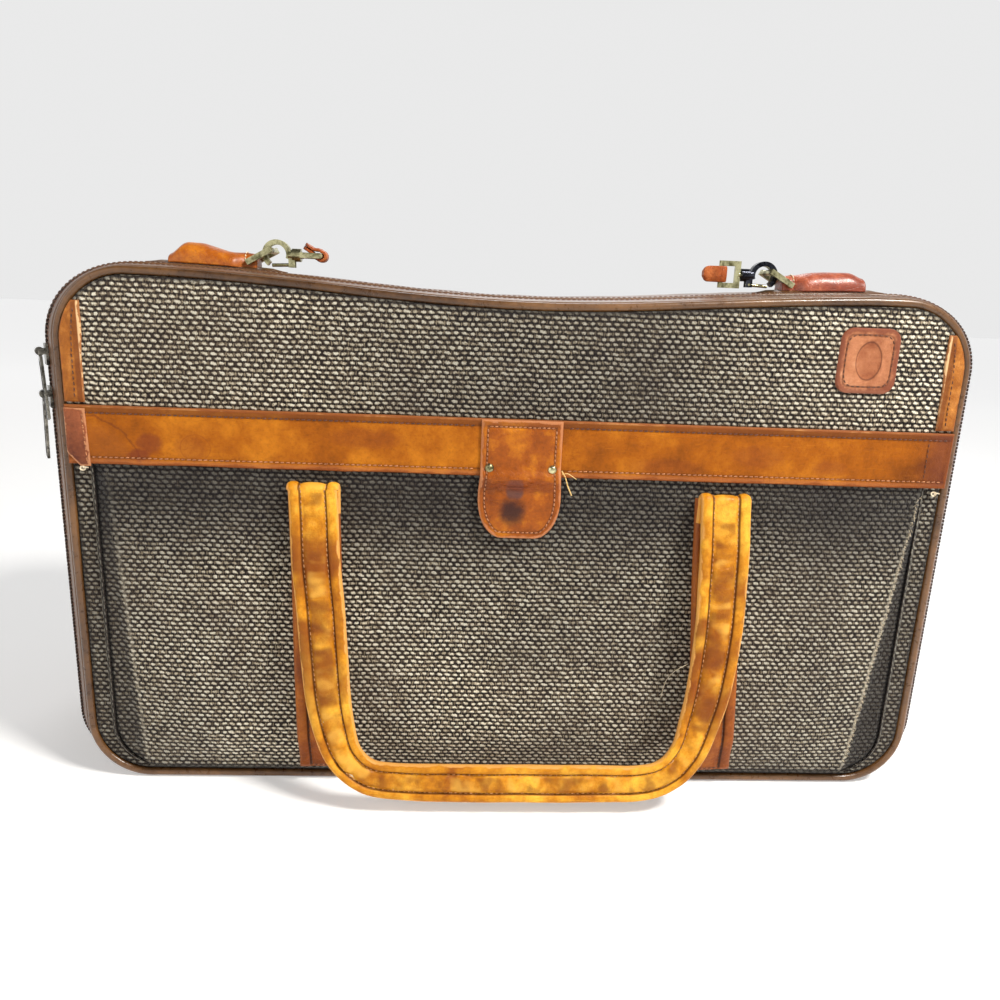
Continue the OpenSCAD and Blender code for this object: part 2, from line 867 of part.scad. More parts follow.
shell_gusset();
base_panel();
back_panel();
back_board();
base_board();
lining_walls();
lining_back();
rear_piping();
rear_frame_wire();
shell_zip_tape();
shell_zip_teeth();
rear_handle_straps();
hood_left();
hood_right();
lid_gusset();
lid_base();
front_panel();
upper_panel();
front_board();
lid_lining();
front_piping();
front_frame_wire();
lid_zip_tape();
lid_zip_teeth();
pocket_panel();
pocket_band();
side_trim_left();
side_trim_right();
badge();
front_handle_straps();
tab_top();
tab_rivets();
snap_socket();
tab_flap();
snap_stud();
front_handle();
front_handle_core();
rear_handle();
rear_handle_core();
ring_left();
ring_right();
hook_left();
hook_right();
gate_left();
gate_right();
eye_left();
eye_right();
strap_end_left();
strap_end_right();
slider_high();
slider_low();
pull_high();
pull_low();
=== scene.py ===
import math

import bmesh
import bpy
import numpy as np
from mathutils import Matrix, Vector


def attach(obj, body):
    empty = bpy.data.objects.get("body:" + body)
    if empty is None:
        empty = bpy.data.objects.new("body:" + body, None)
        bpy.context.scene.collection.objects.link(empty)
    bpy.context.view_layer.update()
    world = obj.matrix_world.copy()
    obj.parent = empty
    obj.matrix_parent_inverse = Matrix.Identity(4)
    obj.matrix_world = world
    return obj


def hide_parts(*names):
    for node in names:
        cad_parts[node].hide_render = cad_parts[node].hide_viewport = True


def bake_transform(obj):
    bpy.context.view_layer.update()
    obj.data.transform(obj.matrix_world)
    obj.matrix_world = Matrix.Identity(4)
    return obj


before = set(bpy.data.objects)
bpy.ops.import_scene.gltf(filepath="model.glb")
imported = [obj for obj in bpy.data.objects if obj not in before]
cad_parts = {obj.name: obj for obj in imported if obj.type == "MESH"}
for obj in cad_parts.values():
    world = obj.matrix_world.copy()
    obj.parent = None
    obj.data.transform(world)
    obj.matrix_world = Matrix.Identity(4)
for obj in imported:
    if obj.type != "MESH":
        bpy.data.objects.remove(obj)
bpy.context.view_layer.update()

# ---- sizes, in millimetres, as in the CAD
MM = 0.001
HALF_W, CASE_H, HALF_D = 280.0, 334.0, 100.0
TOP_R, LOW_R = 45.0, 40.0
SAG = 11.0
FLAT_X, TOP_FLAT_X = HALF_W - LOW_R, HALF_W - TOP_R
FLARE, FLARE_END, BULGE, TOP_SHARE = 0.65, 23.0, 18.0, 0.2
ZIP_Y = -82.0
PIPE_R = 2.5
INSET = 5.2
CLOTH = 2.0
BAND_LOW, BAND_HIGH = 217.0, 253.0
POCKET_Y, BAND_Y, TAB_Y = -104.7, -106.9, -109.1
STRAP_X, SPLAY = 128.0, 8.0
FRONT_SPLAY_LEFT, FRONT_SPLAY_RIGHT = -4.0, 12.0
FOLD_Z, TILT = 211.0, math.radians(7.5)
RING_X, FIT_Y = 172.0, -58.0
OUT_FRONT, OUT_BACK = (0, -1, 0), (0, 1, 0)

rng = np.random.default_rng(11)


# ---- outline of the case
def sag_z(x):
    return CASE_H - SAG * (1 + np.cos(np.pi * x / TOP_FLAT_X)) / 2


def outline(step=4.0, base=True):
    """Points round the case with the direction that faces outward: x, z, angle."""
    def arc(cx, cz, r, a0, a1):
        n = max(6, int(abs(math.radians(a1 - a0)) * r / step))
        a = np.radians(np.linspace(a0, a1, n + 1))
        return np.stack([cx + r * np.cos(a), cz + r * np.sin(a), a], 1)

    def line(x0, z0, x1, z1, a):
        n = max(2, int(math.hypot(x1 - x0, z1 - z0) / step))
        t = np.linspace(0, 1, n + 1)[1:-1]
        return np.stack([x0 + (x1 - x0) * t, z0 + (z1 - z0) * t, np.full(len(t), a)], 1)

    x = np.linspace(-TOP_FLAT_X, TOP_FLAT_X, int(2 * TOP_FLAT_X / step) + 1)[1:-1]
    slope = SAG * np.pi / (2 * TOP_FLAT_X) * np.sin(np.pi * x / TOP_FLAT_X)
    top = np.stack([x, sag_z(x), np.arctan2(1, -slope)], 1)
    parts = [
        arc(-FLAT_X, LOW_R, LOW_R, 270, 180),
        line(-HALF_W, LOW_R, -HALF_W, CASE_H - TOP_R, np.pi),
        arc(-TOP_FLAT_X, CASE_H - TOP_R, TOP_R, 180, 90),
        top,
        arc(TOP_FLAT_X, CASE_H - TOP_R, TOP_R, 90, 0),
        line(HALF_W, CASE_H - TOP_R, HALF_W, LOW_R, 0.0),
        arc(FLAT_X, LOW_R, LOW_R, 0, -90),
    ]
    if base:
        parts.append(line(FLAT_X, 0, -FLAT_X, 0, -np.pi / 2))
    return np.concatenate(parts)


def belly(d):
    flare = FLARE * FLARE_END
    rest = np.sin(np.pi / 2 * (d - FLARE_END) / (HALF_D - FLARE_END))
    return np.where(d < FLARE_END, FLARE * d, flare + (BULGE - flare) * rest)


def facing(a):
    return np.cos(a) ** 2 + TOP_SHARE * np.maximum(np.sin(a), 0) ** 2


def skin(path, y, inset, extra=0.0):
    """The wall's points at the depths y, set in from the skin: rows follow y, columns the path."""
    y = np.atleast_1d(np.asarray(y, float))[:, None]
    p = path[None, :, :]
    o = belly(np.minimum(y + HALF_D, HALF_D - y)) * facing(p[..., 2]) - inset + extra
    x = p[..., 0] + o * np.cos(p[..., 2])
    z = p[..., 1] + o * np.sin(p[..., 2])
    return np.stack([x, np.broadcast_to(y, x.shape), z], -1)


def top_z(x, y):
    return sag_z(x) + belly(min(y + HALF_D, HALF_D - y)) * TOP_SHARE


# the pocket cloth turns in along a crease near each side: its place at CREASE_Z, and its lean
CREASE_Z = 14
CREASES = {-1: (240.5, 0.061), 1: (236.5, 0.112)}


def crease_x(side, z):
    at, lean = CREASES[side]
    return at + lean * (z - CREASE_Z)


def waves(x, z, seed, size, count=7):
    """Smooth random undulation from -1 to 1, with features of about that size in millimetres."""
    r = np.random.default_rng(seed)
    total = np.zeros(np.broadcast(x, z).shape)
    for _ in range(count):
        a = r.uniform(0, 2 * np.pi)
        k = 2 * np.pi / (size * r.uniform(0.6, 1.7))
        total = total + np.sin(k * (x * np.cos(a) + z * np.sin(a)) + r.uniform(0, 6.28))
    return total / count * 1.6


def smooth(t, a, b):
    """0 below a, 1 above b, smooth between."""
    t = np.clip((t - a) / (b - a), 0, 1)
    return t * t * (3 - 2 * t)


def hump(t, centre, width):
    return np.exp(-((t - centre) / width) ** 2)


# ---- meshes
def quads(rows, cols, wrap_rows=False, wrap_cols=False):
    r = np.arange(rows if wrap_rows else rows - 1)
    c = np.arange(cols if wrap_cols else cols - 1)
    r, c = np.meshgrid(r, c, indexing="ij")
    r2, c2 = (r + 1) % rows, (c + 1) % cols
    return np.stack([r * cols + c, r2 * cols + c, r2 * cols + c2, r * cols + c2], -1).reshape(-1, 4)


def mesh_object(name, points, faces, lay=None, sharp=40, fix=True):
    """A mesh from points in millimetres. lay is kept per point, in metres, for the materials."""
    me = bpy.data.meshes.new(name)
    me.from_pydata((np.asarray(points, float) * MM).tolist(), [],
                   [list(map(int, f)) for f in faces])
    if fix:
        bm = bmesh.new()
        bm.from_mesh(me)
        bmesh.ops.recalc_face_normals(bm, faces=bm.faces)
        bm.to_mesh(me)
        bm.free()
    if lay is not None:
        a = me.attributes.new("lay", "FLOAT_VECTOR", "POINT")
        a.data.foreach_set("vector", (np.asarray(lay, float) * MM).astype(np.float32).ravel())
    me.polygons.foreach_set("use_smooth", np.ones(len(me.polygons), bool))
    me.set_sharp_from_angle(angle=math.radians(sharp))
    me.update()
    ob = bpy.data.objects.new(name, me)
    bpy.context.scene.collection.objects.link(ob)
    return ob


def slab(outer, inner, wrap_rows=False, wrap_cols=False):
    """Points and faces of a thin solid between two grids of points."""
    rows, cols = outer.shape[:2]
    n = rows * cols
    f = quads(rows, cols, wrap_rows, wrap_cols)
    faces = [f, f[:, ::-1] + n]
    ids = np.arange(n).reshape(rows, cols)

    def rim(edge, wrap):
        e2 = np.roll(edge, -1) if wrap else edge[1:]
        e1 = edge if wrap else edge[:-1]
        return np.stack([e1, e2, e2 + n, e1 + n], 1)

    if not wrap_rows:
        faces += [rim(ids[0], wrap_cols), rim(ids[-1], wrap_cols)]
    if not wrap_cols:
        faces += [rim(ids[:, 0], wrap_rows), rim(ids[:, -1], wrap_rows)]
    return np.concatenate([outer.reshape(-1, 3), inner.reshape(-1, 3)]), np.concatenate(faces)


def edge_distance(grid, boundary):
    """How far each point of a grid is from a boundary given as closely spaced points."""
    flat = grid.reshape(-1, 2)
    out = np.empty(len(flat))
    for i in range(0, len(flat), 4000):
        part = flat[i:i + 4000]
        out[i:i + 4000] = np.sqrt(((part[:, None, :] - boundary[None]) ** 2).sum(-1).min(1))
    return out.reshape(grid.shape[:2])


def run_length(line):
    """Distance travelled along a line, at each of its points."""
    return np.concatenate([[0], np.cumsum(np.linalg.norm(np.diff(line, axis=0), axis=1))])


def nearest(line, points):
    """For each point, the index of the line's nearest point."""
    return np.array([np.argmin(((line - p) ** 2).sum(1)) for p in points])


def end_caps(n, m):
    """The two end faces of a run of n rings of m points."""
    return [list(range(m))[::-1], list(range((n - 1) * m, n * m))]


def densify(line, step=0.8):
    line = np.asarray(line, float)
    s = run_length(line)
    at = np.linspace(0, s[-1], max(2, int(s[-1] / step)))
    return np.stack([np.interp(at, s, line[:, k]) for k in range(line.shape[1])], 1)


def fill(low, high, count, ease=True):
    """A grid between two matching lines of (x, z) points, closer together near its edges."""
    t = np.linspace(0, 1, count)
    if ease:
        t = 0.35 * t + 0.65 * (1 - np.cos(np.pi * t)) / 2
    return low[:, None, :] * (1 - t)[None, :, None] + high[:, None, :] * t[None, :, None]


def flat(x, z, d):
    """A recess of nothing: the sheet's back stays flat."""
    return 0 * x


def relief(name, grid, face, y_out, thick, puff=None, edge_r=1.0, sharp=40, recess=None):
    """A sheet standing upright, whose outer face bulges by puff and rounds off at its edges."""
    edges = np.concatenate([densify(grid[0]), densify(grid[-1]), densify(grid[:, 0]),
                            densify(grid[:, -1])])
    d = edge_distance(grid, edges)
    d[0] = d[-1] = 0
    d[:, 0] = d[:, -1] = 0
    k = 1 - np.clip(d / edge_r, 0, 1)
    roll = edge_r * (1 - np.sqrt(np.maximum(0, 1 - k * k)))
    roll = np.minimum(roll, thick * 0.8)
    x, z = grid[..., 0], grid[..., 1]
    rise = puff(x, z, d) if puff is not None else 0.0
    outer = np.stack([x, y_out + face * (rise - roll), z], -1)
    back = rise if recess is None else recess(x, z, d)
    inner = np.stack([x, y_out - face * thick + face * back + 0 * x, z], -1)
    points, faces = slab(outer, inner)
    lay = np.stack([x, z, d], -1).reshape(-1, 3)
    return mesh_object(name, points, faces, np.concatenate([lay, lay]), sharp)


def frames(path, closed=False):
    t = np.gradient(path, axis=0)
    if closed:
        t = np.roll(path, -1, 0) - np.roll(path, 1, 0)
    return t / np.linalg.norm(t, axis=1)[:, None]


def sweep(path, across, normal, profile, scale=None, closed=False, caps=True):
    """Points and faces of a profile, as (across, out) pairs, carried along a path."""
    n, m = len(path), profile.shape[-2]
    prof = np.broadcast_to(profile, (n, m, 2)).copy()
    if scale is not None:
        prof = prof * scale[:, None, :]
    points = path[:, None] + prof[..., :1] * across[:, None] + prof[..., 1:] * normal[:, None]
    faces = quads(n, m, closed, True).tolist()
    points = points.reshape(-1, 3)
    if caps and not closed:
        faces += end_caps(n, m)
    return points, faces


def tube(path, radius, sides=10, closed=False):
    """Points and faces of a round tube along a path."""
    path = np.asarray(path, float)
    t = frames(path, closed)
    up = np.array([0, 1.0, 0.0]) if abs(t[:, 1]).max() < 0.9 else np.array([0.3, 0.2, 0.93])
    a = np.cross(t, up)
    a /= np.linalg.norm(a, axis=1)[:, None]
    b = np.cross(a, t)
    ang = np.linspace(0, 2 * np.pi, sides, endpoint=False)
    ring = np.stack([np.cos(ang), np.sin(ang)], 1)
    r = np.broadcast_to(np.asarray(radius, float), (len(path),))
    return sweep(path, a, b, ring, np.stack([r, r], 1), closed)


def resample(path, pitch, start=0.0, end=0.0):
    """Points, and the direction of travel, at an even pitch along a line."""
    path = np.asarray(path, float)
    s = run_length(path)
    n = max(1, int((s[-1] - start - end) / pitch))
    at = start + (s[-1] - start - end - n * pitch) / 2 + pitch * (np.arange(n) + 0.5)
    p = np.stack([np.interp(at, s, path[:, k]) for k in range(3)], 1)
    q = np.stack([np.interp(at + 0.3, s, path[:, k]) for k in range(3)], 1)
    q0 = np.stack([np.interp(at - 0.3, s, path[:, k]) for k in range(3)], 1)
    t = q - q0
    return p, t / np.maximum(np.linalg.norm(t, axis=1), 1e-9)[:, None]


def beads(centres, along, normal, length, width, height, slant=0.0):
    """One small rounded bead at each centre: stitches, zip teeth."""
    rings, sides = 4, 6
    u = np.cos(np.linspace(0, np.pi, rings + 2))[1:-1]
    r = np.sqrt(1 - u * u)
    u = np.sign(u) * np.abs(u) ** 0.8
    a = np.linspace(0, 2 * np.pi, sides, endpoint=False)
    unit = [[1.0, 0, 0]]
    for uu, rr in zip(u, r):
        unit += [[uu, rr ** 0.6 * np.cos(x), rr ** 0.6 * np.sin(x)] for x in a]
    unit = np.array(unit + [[-1.0, 0, 0]])
    f = [[0, 1 + (j + 1) % sides, 1 + j] for j in range(sides)]
    for i in range(rings - 1):
        for j in range(sides):
            k, k2 = 1 + i * sides, 1 + (i + 1) * sides
            f.append([k + j, k + (j + 1) % sides, k2 + (j + 1) % sides, k2 + j])
    last = len(unit) - 1
    f += [[last, 1 + (rings - 1) * sides + j, 1 + (rings - 1) * sides + (j + 1) % sides]
          for j in range(sides)]
    n = np.broadcast_to(np.asarray(normal, float), along.shape)
    side = np.cross(n, along)
    side /= np.linalg.norm(side, axis=1)[:, None]
    n = np.cross(along, side)
    along = along * math.cos(slant) + side * math.sin(slant)
    side = np.cross(n, along)
    pts = (centres[:, None] + unit[None, :, :1] * (length / 2) * along[:, None]
           + unit[None, :, 1:2] * (width / 2) * side[:, None] + unit[None, :,
                                                                     2:] * (height / 2) * n[:,
                                                                                            None])
    count = len(centres)
    faces = [[v + k * len(unit) for v in face] for k in range(count) for face in f]
    return pts.reshape(-1, 3), faces


def join(parts):
    """Several (points, faces) as one."""
    points, faces, n = [], [], 0
    for p, f in parts:
        points.append(np.asarray(p, float))
        faces += [[int(v) + n for v in face] for face in f]
        n += len(p)
    return np.concatenate(points), faces


def place(ob, body, material=None, stands_for=()):
    if material is not None:
        ob.data.materials.clear()
        ob.data.materials.append(material)
    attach(ob, body)
    if stands_for:
        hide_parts(*stands_for)
    return ob


STITCH_PITCH = 3.3


def stitches(name, lines, body, material, pitch=STITCH_PITCH, length=2.3, width=0.75, height=0.8,
             slant=0.12):
    """Rows of thread, each row a line of points with its outward direction."""
    parts = []
    for line, normal in lines:
        c, t = resample(line, pitch)
        jit = rng.normal(0, 0.05, c.shape)
        parts.append(beads(c + jit, t, normal, length, width, height, slant))
    ob = mesh_object(name, *join(parts), sharp=180, fix=False)
    if body is not None:
        place(ob, body, material)
    else:
        ob.data.materials.append(material)
    return ob


# ---- materials
def lin(r, g, b):
    """sRGB from 0 to 255 as a linear colour."""
    c = np.array([r, g, b]) / 255
    c = np.where(c <= 0.04045, c / 12.92, ((c + 0.055) / 1.055) ** 2.4)
    return (float(c[0]), float(c[1]), float(c[2]), 1.0)


class Value:
    """A node's output that can be added to, multiplied and so on."""

    def __init__(self, look, socket):
        self.look, self.socket = look, socket

    def __abs__(self):
        return self.look.math("ABSOLUTE", self)


def add_operator(method, operation):
    """Gives Value a Python operator, with the value on its left and on its right."""
    setattr(Value, f"__{method}__", lambda a, b: a.look.math(operation, a, b))
    setattr(Value, f"__r{method}__", lambda a, b: a.look.math(operation, b, a))


for pair in (("add", "ADD"), ("sub", "SUBTRACT"), ("mul", "MULTIPLY"), ("truediv", "DIVIDE"),
             ("pow", "POWER")):
    add_operator(*pair)


class Look:
    """Short ways to build a node material."""

    def __init__(self, name):
        self.mat = bpy.data.materials.new(name)
        self.mat.use_nodes = True
        self.tree = self.mat.node_tree
        self.tree.nodes.clear()
        out = self.tree.nodes.new("ShaderNodeOutputMaterial")
        self.bsdf = self.tree.nodes.new("ShaderNodeBsdfPrincipled")
        self.tree.links.new(self.bsdf.outputs[0], out.inputs[0])

    def feed(self, socket, value):
        if isinstance(value, Value):
            self.tree.links.new(value.socket, socket)
        elif value is not None:
            socket.default_value = value

    def math(self, op, a, b=None):
        n = self.tree.nodes.new("ShaderNodeMath")
        n.operation = op
        for s, v in zip(n.inputs, (a, b)):
            self.feed(s, v)
        return Value(self, n.outputs[0])

    def lay(self):
        n = self.tree.nodes.new("ShaderNodeAttribute")
        n.attribute_name = "lay"
        return self.split(Value(self, n.outputs["Vector"]))

    def where(self):
        return Value(self, self.tree.nodes.new("ShaderNodeTexCoord").outputs["Object"])

    def split(self, v):
        n = self.tree.nodes.new("ShaderNodeSeparateXYZ")
        self.feed(n.inputs[0], v)
        return tuple(Value(self, n.outputs[k]) for k in range(3))

    def vec(self, x, y, z=0.0):
        n = self.tree.nodes.new("ShaderNodeCombineXYZ")
        for s, v in zip(n.inputs, (x, y, z)):
            self.feed(s, v)
        return Value(self, n.outputs[0])

    def noise(self, v, scale, detail=3.0, rough=0.55, twist=0.0):
        n = self.tree.nodes.new("ShaderNodeTexNoise")
        self.feed(n.inputs["Vector"], v)
        n.inputs["Scale"].default_value = scale
        n.inputs["Detail"].default_value = detail
        n.inputs["Roughness"].default_value = rough
        n.inputs["Distortion"].default_value = twist
        return Value(self, n.outputs[0])

    def cells(self, v, scale, kind="F1", out="Distance"):
        n = self.tree.nodes.new("ShaderNodeTexVoronoi")
        n.feature = kind
        self.feed(n.inputs["Vector"], v)
        n.inputs["Scale"].default_value = scale
        return Value(self, n.outputs[out])

    def random(self, v):
        n = self.tree.nodes.new("ShaderNodeTexWhiteNoise")
        n.noise_dimensions = "3D"
        self.feed(n.inputs["Vector"], v)
        return Value(self, n.outputs["Value"])

    def fit(self, v, a, b, c=0.0, d=1.0, smooth=True):
        n = self.tree.nodes.new("ShaderNodeMapRange")
        n.interpolation_type = "SMOOTHSTEP" if smooth else "LINEAR"
        for s, x in zip(n.inputs, (v, a, b, c, d)):
            self.feed(s, x)
        return Value(self, n.outputs[0])

    def mix(self, f, a, b, kind="MIX"):
        n = self.tree.nodes.new("ShaderNodeMix")
        n.data_type, n.blend_type = "RGBA", kind
        self.feed(n.inputs[0], f)
        self.feed(n.inputs[6], a)
        self.feed(n.inputs[7], b)
        return Value(self, n.outputs[2])

    def ramp(self, f, stops):
        n = self.tree.nodes.new("ShaderNodeValToRGB")
        self.feed(n.inputs[0], f)
        e = n.color_ramp.elements
        while len(e) < len(stops):
            e.new(0.5)
        for k, (pos, col) in enumerate(stops):
            e[k].position, e[k].color = pos, col
        return Value(self, n.outputs[0])

    def blot(self, cx, cz, rx, rz, power=2.0, soft=0.5, ragged=0.9, most=0.86, ring=None):
        """1 inside an oval mark on the lay, in millimetres; ring makes it an outline only."""
        u, v, _ = self.lay()
        jig = self.noise(self.where(), 180, 4, 0.7) - 0.5
        a = abs((u - cx * MM) / (rx * MM)) ** power
        b = abs((v - cz * MM) / (rz * MM)) ** power
        e = jig * ragged + (a + b)
        if ring is not None:
            return self.fit(abs(e - 1.0), ring, 0.0, 0.0, most)
        return self.fit(e, 1.0 + soft, 1.0 - soft, 0.0, most)

    def seam(self, across, at, most, half=1.0):
        """A dark stitched line where across is at, in millimetres."""
        off = abs(across - at * MM)
        return self.fit(off, half * MM, 0.2 * half * MM, 0.0, most)

    def stripe(self, axis, a, b, most=1.0):
        """Goes from 0 at a to most at b, along the lay's axis 0 or 1, in millimetres."""
        return self.fit(self.lay()[axis], a * MM, b * MM, 0.0, most)

    def bump(self, height, distance, strength=1.0, over=None):
        n = self.tree.nodes.new("ShaderNodeBump")
        n.inputs["Strength"].default_value = strength
        n.inputs["Distance"].default_value = distance
        self.feed(n.inputs["Height"], height)
        if over is not None:
            self.feed(n.inputs["Normal"], over)
        return Value(self, n.outputs[0])

    def finish(self, colour, rough, normal=None, metal=0.0, **more):
        self.feed(self.bsdf.inputs["Base Color"], colour)
        self.feed(self.bsdf.inputs["Roughness"], rough)
        self.bsdf.inputs["Metallic"].default_value = metal
        if normal is not None:
            self.feed(self.bsdf.inputs["Normal"], normal)
        for k, v in more.items():
            self.bsdf.inputs[k.replace("_", " ")].default_value = v
        return self.mat


GRAIN_W, GRAIN_H = 4.95, 2.9


def tweed(name, marks=None):
    """Chunky plain weave: pale slubs in brick order, duller yarn rising between them, dark gaps."""
    m = Look(name)
    u, v, d = m.lay()
    w = m.where()
    sway = m.noise(w, 130, 2) - 0.5
    sway2 = m.noise(w, 90, 2) - 0.5
    uu = sway * 0.003 + u
    vv = sway2 * 0.0022 + v
    rows = vv / (GRAIN_H * MM)
    row = m.math("FLOOR", rows)
    shift = m.math("FLOORED_MODULO", row, 2.0) * 0.5
    cols = uu / (GRAIN_W * MM) + shift
    col = m.math("FLOOR", cols)
    fu = cols - col - 0.5
    fv = rows - row - 0.5
    fray = m.noise(w, 1100, 2, 0.7) - 0.5
    fray2 = m.noise(w, 520, 2, 0.6) - 0.5
    pick = m.random(m.vec(col, row, 0.0))
    pick2 = m.random(m.vec(row, col, 7.0))
    wide = m.fit(pick2, 0, 1, 0.30, 0.42, False)
    tilt = fu * m.fit(pick2, 0, 1, 0.0, 0.3, False) + fv
    e = abs(fu / wide) ** 2.6 + abs(tilt / 0.34) ** 2.0
    e = e + fray * 2.4 + fray2 * 1.6
    rise_u = 0.5 - abs(fu)
    e2 = (rise_u / 0.16) ** 2.0 + abs(fv / 0.52) ** 2.0
    e2 = e2 + fray * 2.6
    slub = m.fit(e, 1.75, 0.0, 0, 1, False)
    riser = m.fit(e2, 1.6, 0.0, 0, 1, False)
    fibre = m.noise(m.vec(u * 0.5, v, d), 2300, 2, 0.75)
    slub = slub * m.fit(pick, 0, 1, 0.72, 1.08, False)
    slub = slub + (fibre - 0.5) * 0.55
    riser = riser * m.fit(m.random(m.vec(row, col, 3.0)), 0, 1, 0.18, 0.58, False)
    yarn = m.math("MAXIMUM", slub, riser)
    colour = m.ramp(yarn, [(0.0, lin(9, 7, 7)), (0.18, lin(38, 30, 26)), (0.38, lin(108, 94, 76)),
                           (0.60, lin(192, 177, 148)), (0.88, lin(255, 248, 228))])
    patch = m.noise(w, 9, 3, 0.6)
    colour = m.mix(m.fit(patch, 0.38, 0.68, 0.0, 0.35), colour, lin(62, 50, 42))
    # painted shade where the cloth runs into the seams along its edges
    edge = m.fit(d, 0.0, 0.0045, 0.8, 0.0)
    colour = m.mix(edge, colour, lin(20, 13, 9))
    if marks is not None:
        colour = marks(m, colour)
    normal = m.bump(yarn, 0.0015, 0.9)
    return m.finish(colour, 0.92, normal, Sheen_Weight=0.12, Sheen_Roughness=0.5,
                    Specular_IOR_Level=0.15)


def leather(name, dark, mid, light, edge=None, rough=0.42, patch=9.0, marks=None, coat=0.04,
            spread=(0.32, 0.5, 0.66),
            edge_w=0.004, grain=1.0, shine=0.2):
    """Tanned leather: mottled, burnished at its edges, with pores, creases and scratches; on the
    handle the pale edge colour is a painted highlight along the welts.
    """
    m = Look(name)
    w = m.where()
    big = m.noise(w, patch, 4, 0.62, 0.4)
    mid_n = m.noise(w, patch * 6, 4, 0.65)
    f = mid_n * 0.4 + big * 0.6
    colour = m.ramp(f, [(spread[0], dark), (spread[1], mid), (spread[2], light)])
    speck = m.noise(w, 420, 3, 0.7)
    colour = m.mix(m.fit(speck, 0.45, 0.75, 0.0, 0.28), colour, dark)
    x, y, z = m.split(w)
    scuff = m.noise(m.vec(x * 0.35, y, z * 5.0), 140, 3, 0.75, 1.4)
    colour = m.mix(m.fit(scuff, 0.62, 0.72, 0.0, 0.30), colour, light)
    nick = m.noise(m.vec(z * 4.0 + x, y, z - x * 4.0), 110, 2, 0.7, 2.2)
    colour = m.mix(m.fit(nick, 0.68, 0.76, 0.0, 0.35), colour, dark)
    if marks is not None:
        colour = marks(m, colour)
    # edge colour: the leather's own edge on most pieces, a painted highlight along the welts on the
    # handle
    if edge is not None:
        _, _, d = m.lay()
        worn = (mid_n - 0.5) * 0.006 + d
        colour = m.mix(m.fit(worn, edge_w * 0.4, edge_w, 0.85, 0.0), colour, edge)
    pore = m.cells(w, 1300)
    crease = m.cells(m.vec(mid_n * 0.004 + x, y, mid_n * 0.004 + z),
                     330, "DISTANCE_TO_EDGE")
    h = m.fit(crease, 0.0, 0.08, 0, 1) * 0.35 + pore * 0.35
    h = mid_n * 1.2 + h
    normal = m.bump(h, 0.00035 * grain, 0.8)
    r = m.fit(speck + mid_n, 0.6, 1.4, rough - 0.1, rough + 0.16, False)
    return m.finish(colour, r, normal, Coat_Weight=coat, Coat_Roughness=0.35,
                    Specular_IOR_Level=shine)


def plain_leather(name, dark, light, rough=0.38, bump=0.00012, patch=14):
    """Smooth leathercloth, as on piping and gussets."""
    m = Look(name)
    w = m.where()
    n = m.noise(w, patch, 4, 0.6, 0.5)
    fine = m.noise(w, 260, 3, 0.6)
    colour = m.ramp(fine * 0.25 + n * 0.75, [(0.36, dark), (0.62, light)])
    scuff = m.noise(w, 90, 4, 0.8, 1.0)
    colour = m.mix(m.fit(scuff, 0.62, 0.74, 0, 0.3), colour, dark)
    pebble = m.cells(w, 900, "SMOOTH_F1")
    normal = m.bump(pebble + fine, bump, 0.8)
    return m.finish(colour, m.fit(fine, 0.3, 0.7, rough - 0.06, rough + 0.1, False), normal,
                    Coat_Weight=0.15, Coat_Roughness=0.3)


def weave(name, dark, light, pitch=0.9, rough=0.85):
    """Plain fine weave for lining and tape."""
    m = Look(name)
    u, v, _ = m.lay()
    a = m.math("SINE", u * (2 * math.pi / (pitch * MM)))
    b = m.math("SINE", v * (2 * math.pi / (pitch * MM)))
    over = a * b
    w = m.where()
    n = m.noise(w, 30, 3, 0.6)
    f = over * 0.2 + (n * 0.3 + 0.35)
    colour = m.ramp(f, [(0.25, dark), (0.75, light)])
    normal = m.bump(over, 0.00025, 0.7)
    return m.finish(colour, rough, normal, Sheen_Weight=0.2, Sheen_Roughness=0.4)


def metal(name, dark, light, rough=0.3, wear=0.5):
    m = Look(name)
    w = m.where()
    n = m.noise(w, 160, 4, 0.7)
    fine = m.noise(w, 1600, 2)
    colour = m.ramp(n, [(0.36, dark), (0.36 + 0.3 * wear, light)])
    r = m.fit(n, 0.3, 0.7, rough + 0.18, rough - 0.06, False)
    return m.finish(colour, r, m.bump(n + fine, 0.00006, 0.6), metal=1.0)


def thread(name, dark, light):
    m = Look(name)
    w = m.where()
    f = m.noise(w, 900, 2)
    colour = m.ramp(f, [(0.35, dark), (0.65, light)])
    return m.finish(colour, 0.75, m.bump(f, 0.0002, 0.5), Sheen_Weight=0.1)


def fibreboard(name, dark, light):
    m = Look(name)
    w = m.where()
    x, y, z = m.split(w)
    f = m.noise(m.vec(x * 3.0, y, z), 160, 4, 0.75)
    colour = m.ramp(f, [(0.3, dark), (0.7, light)])
    return m.finish(colour, 0.85, m.bump(f, 0.0003, 0.7))


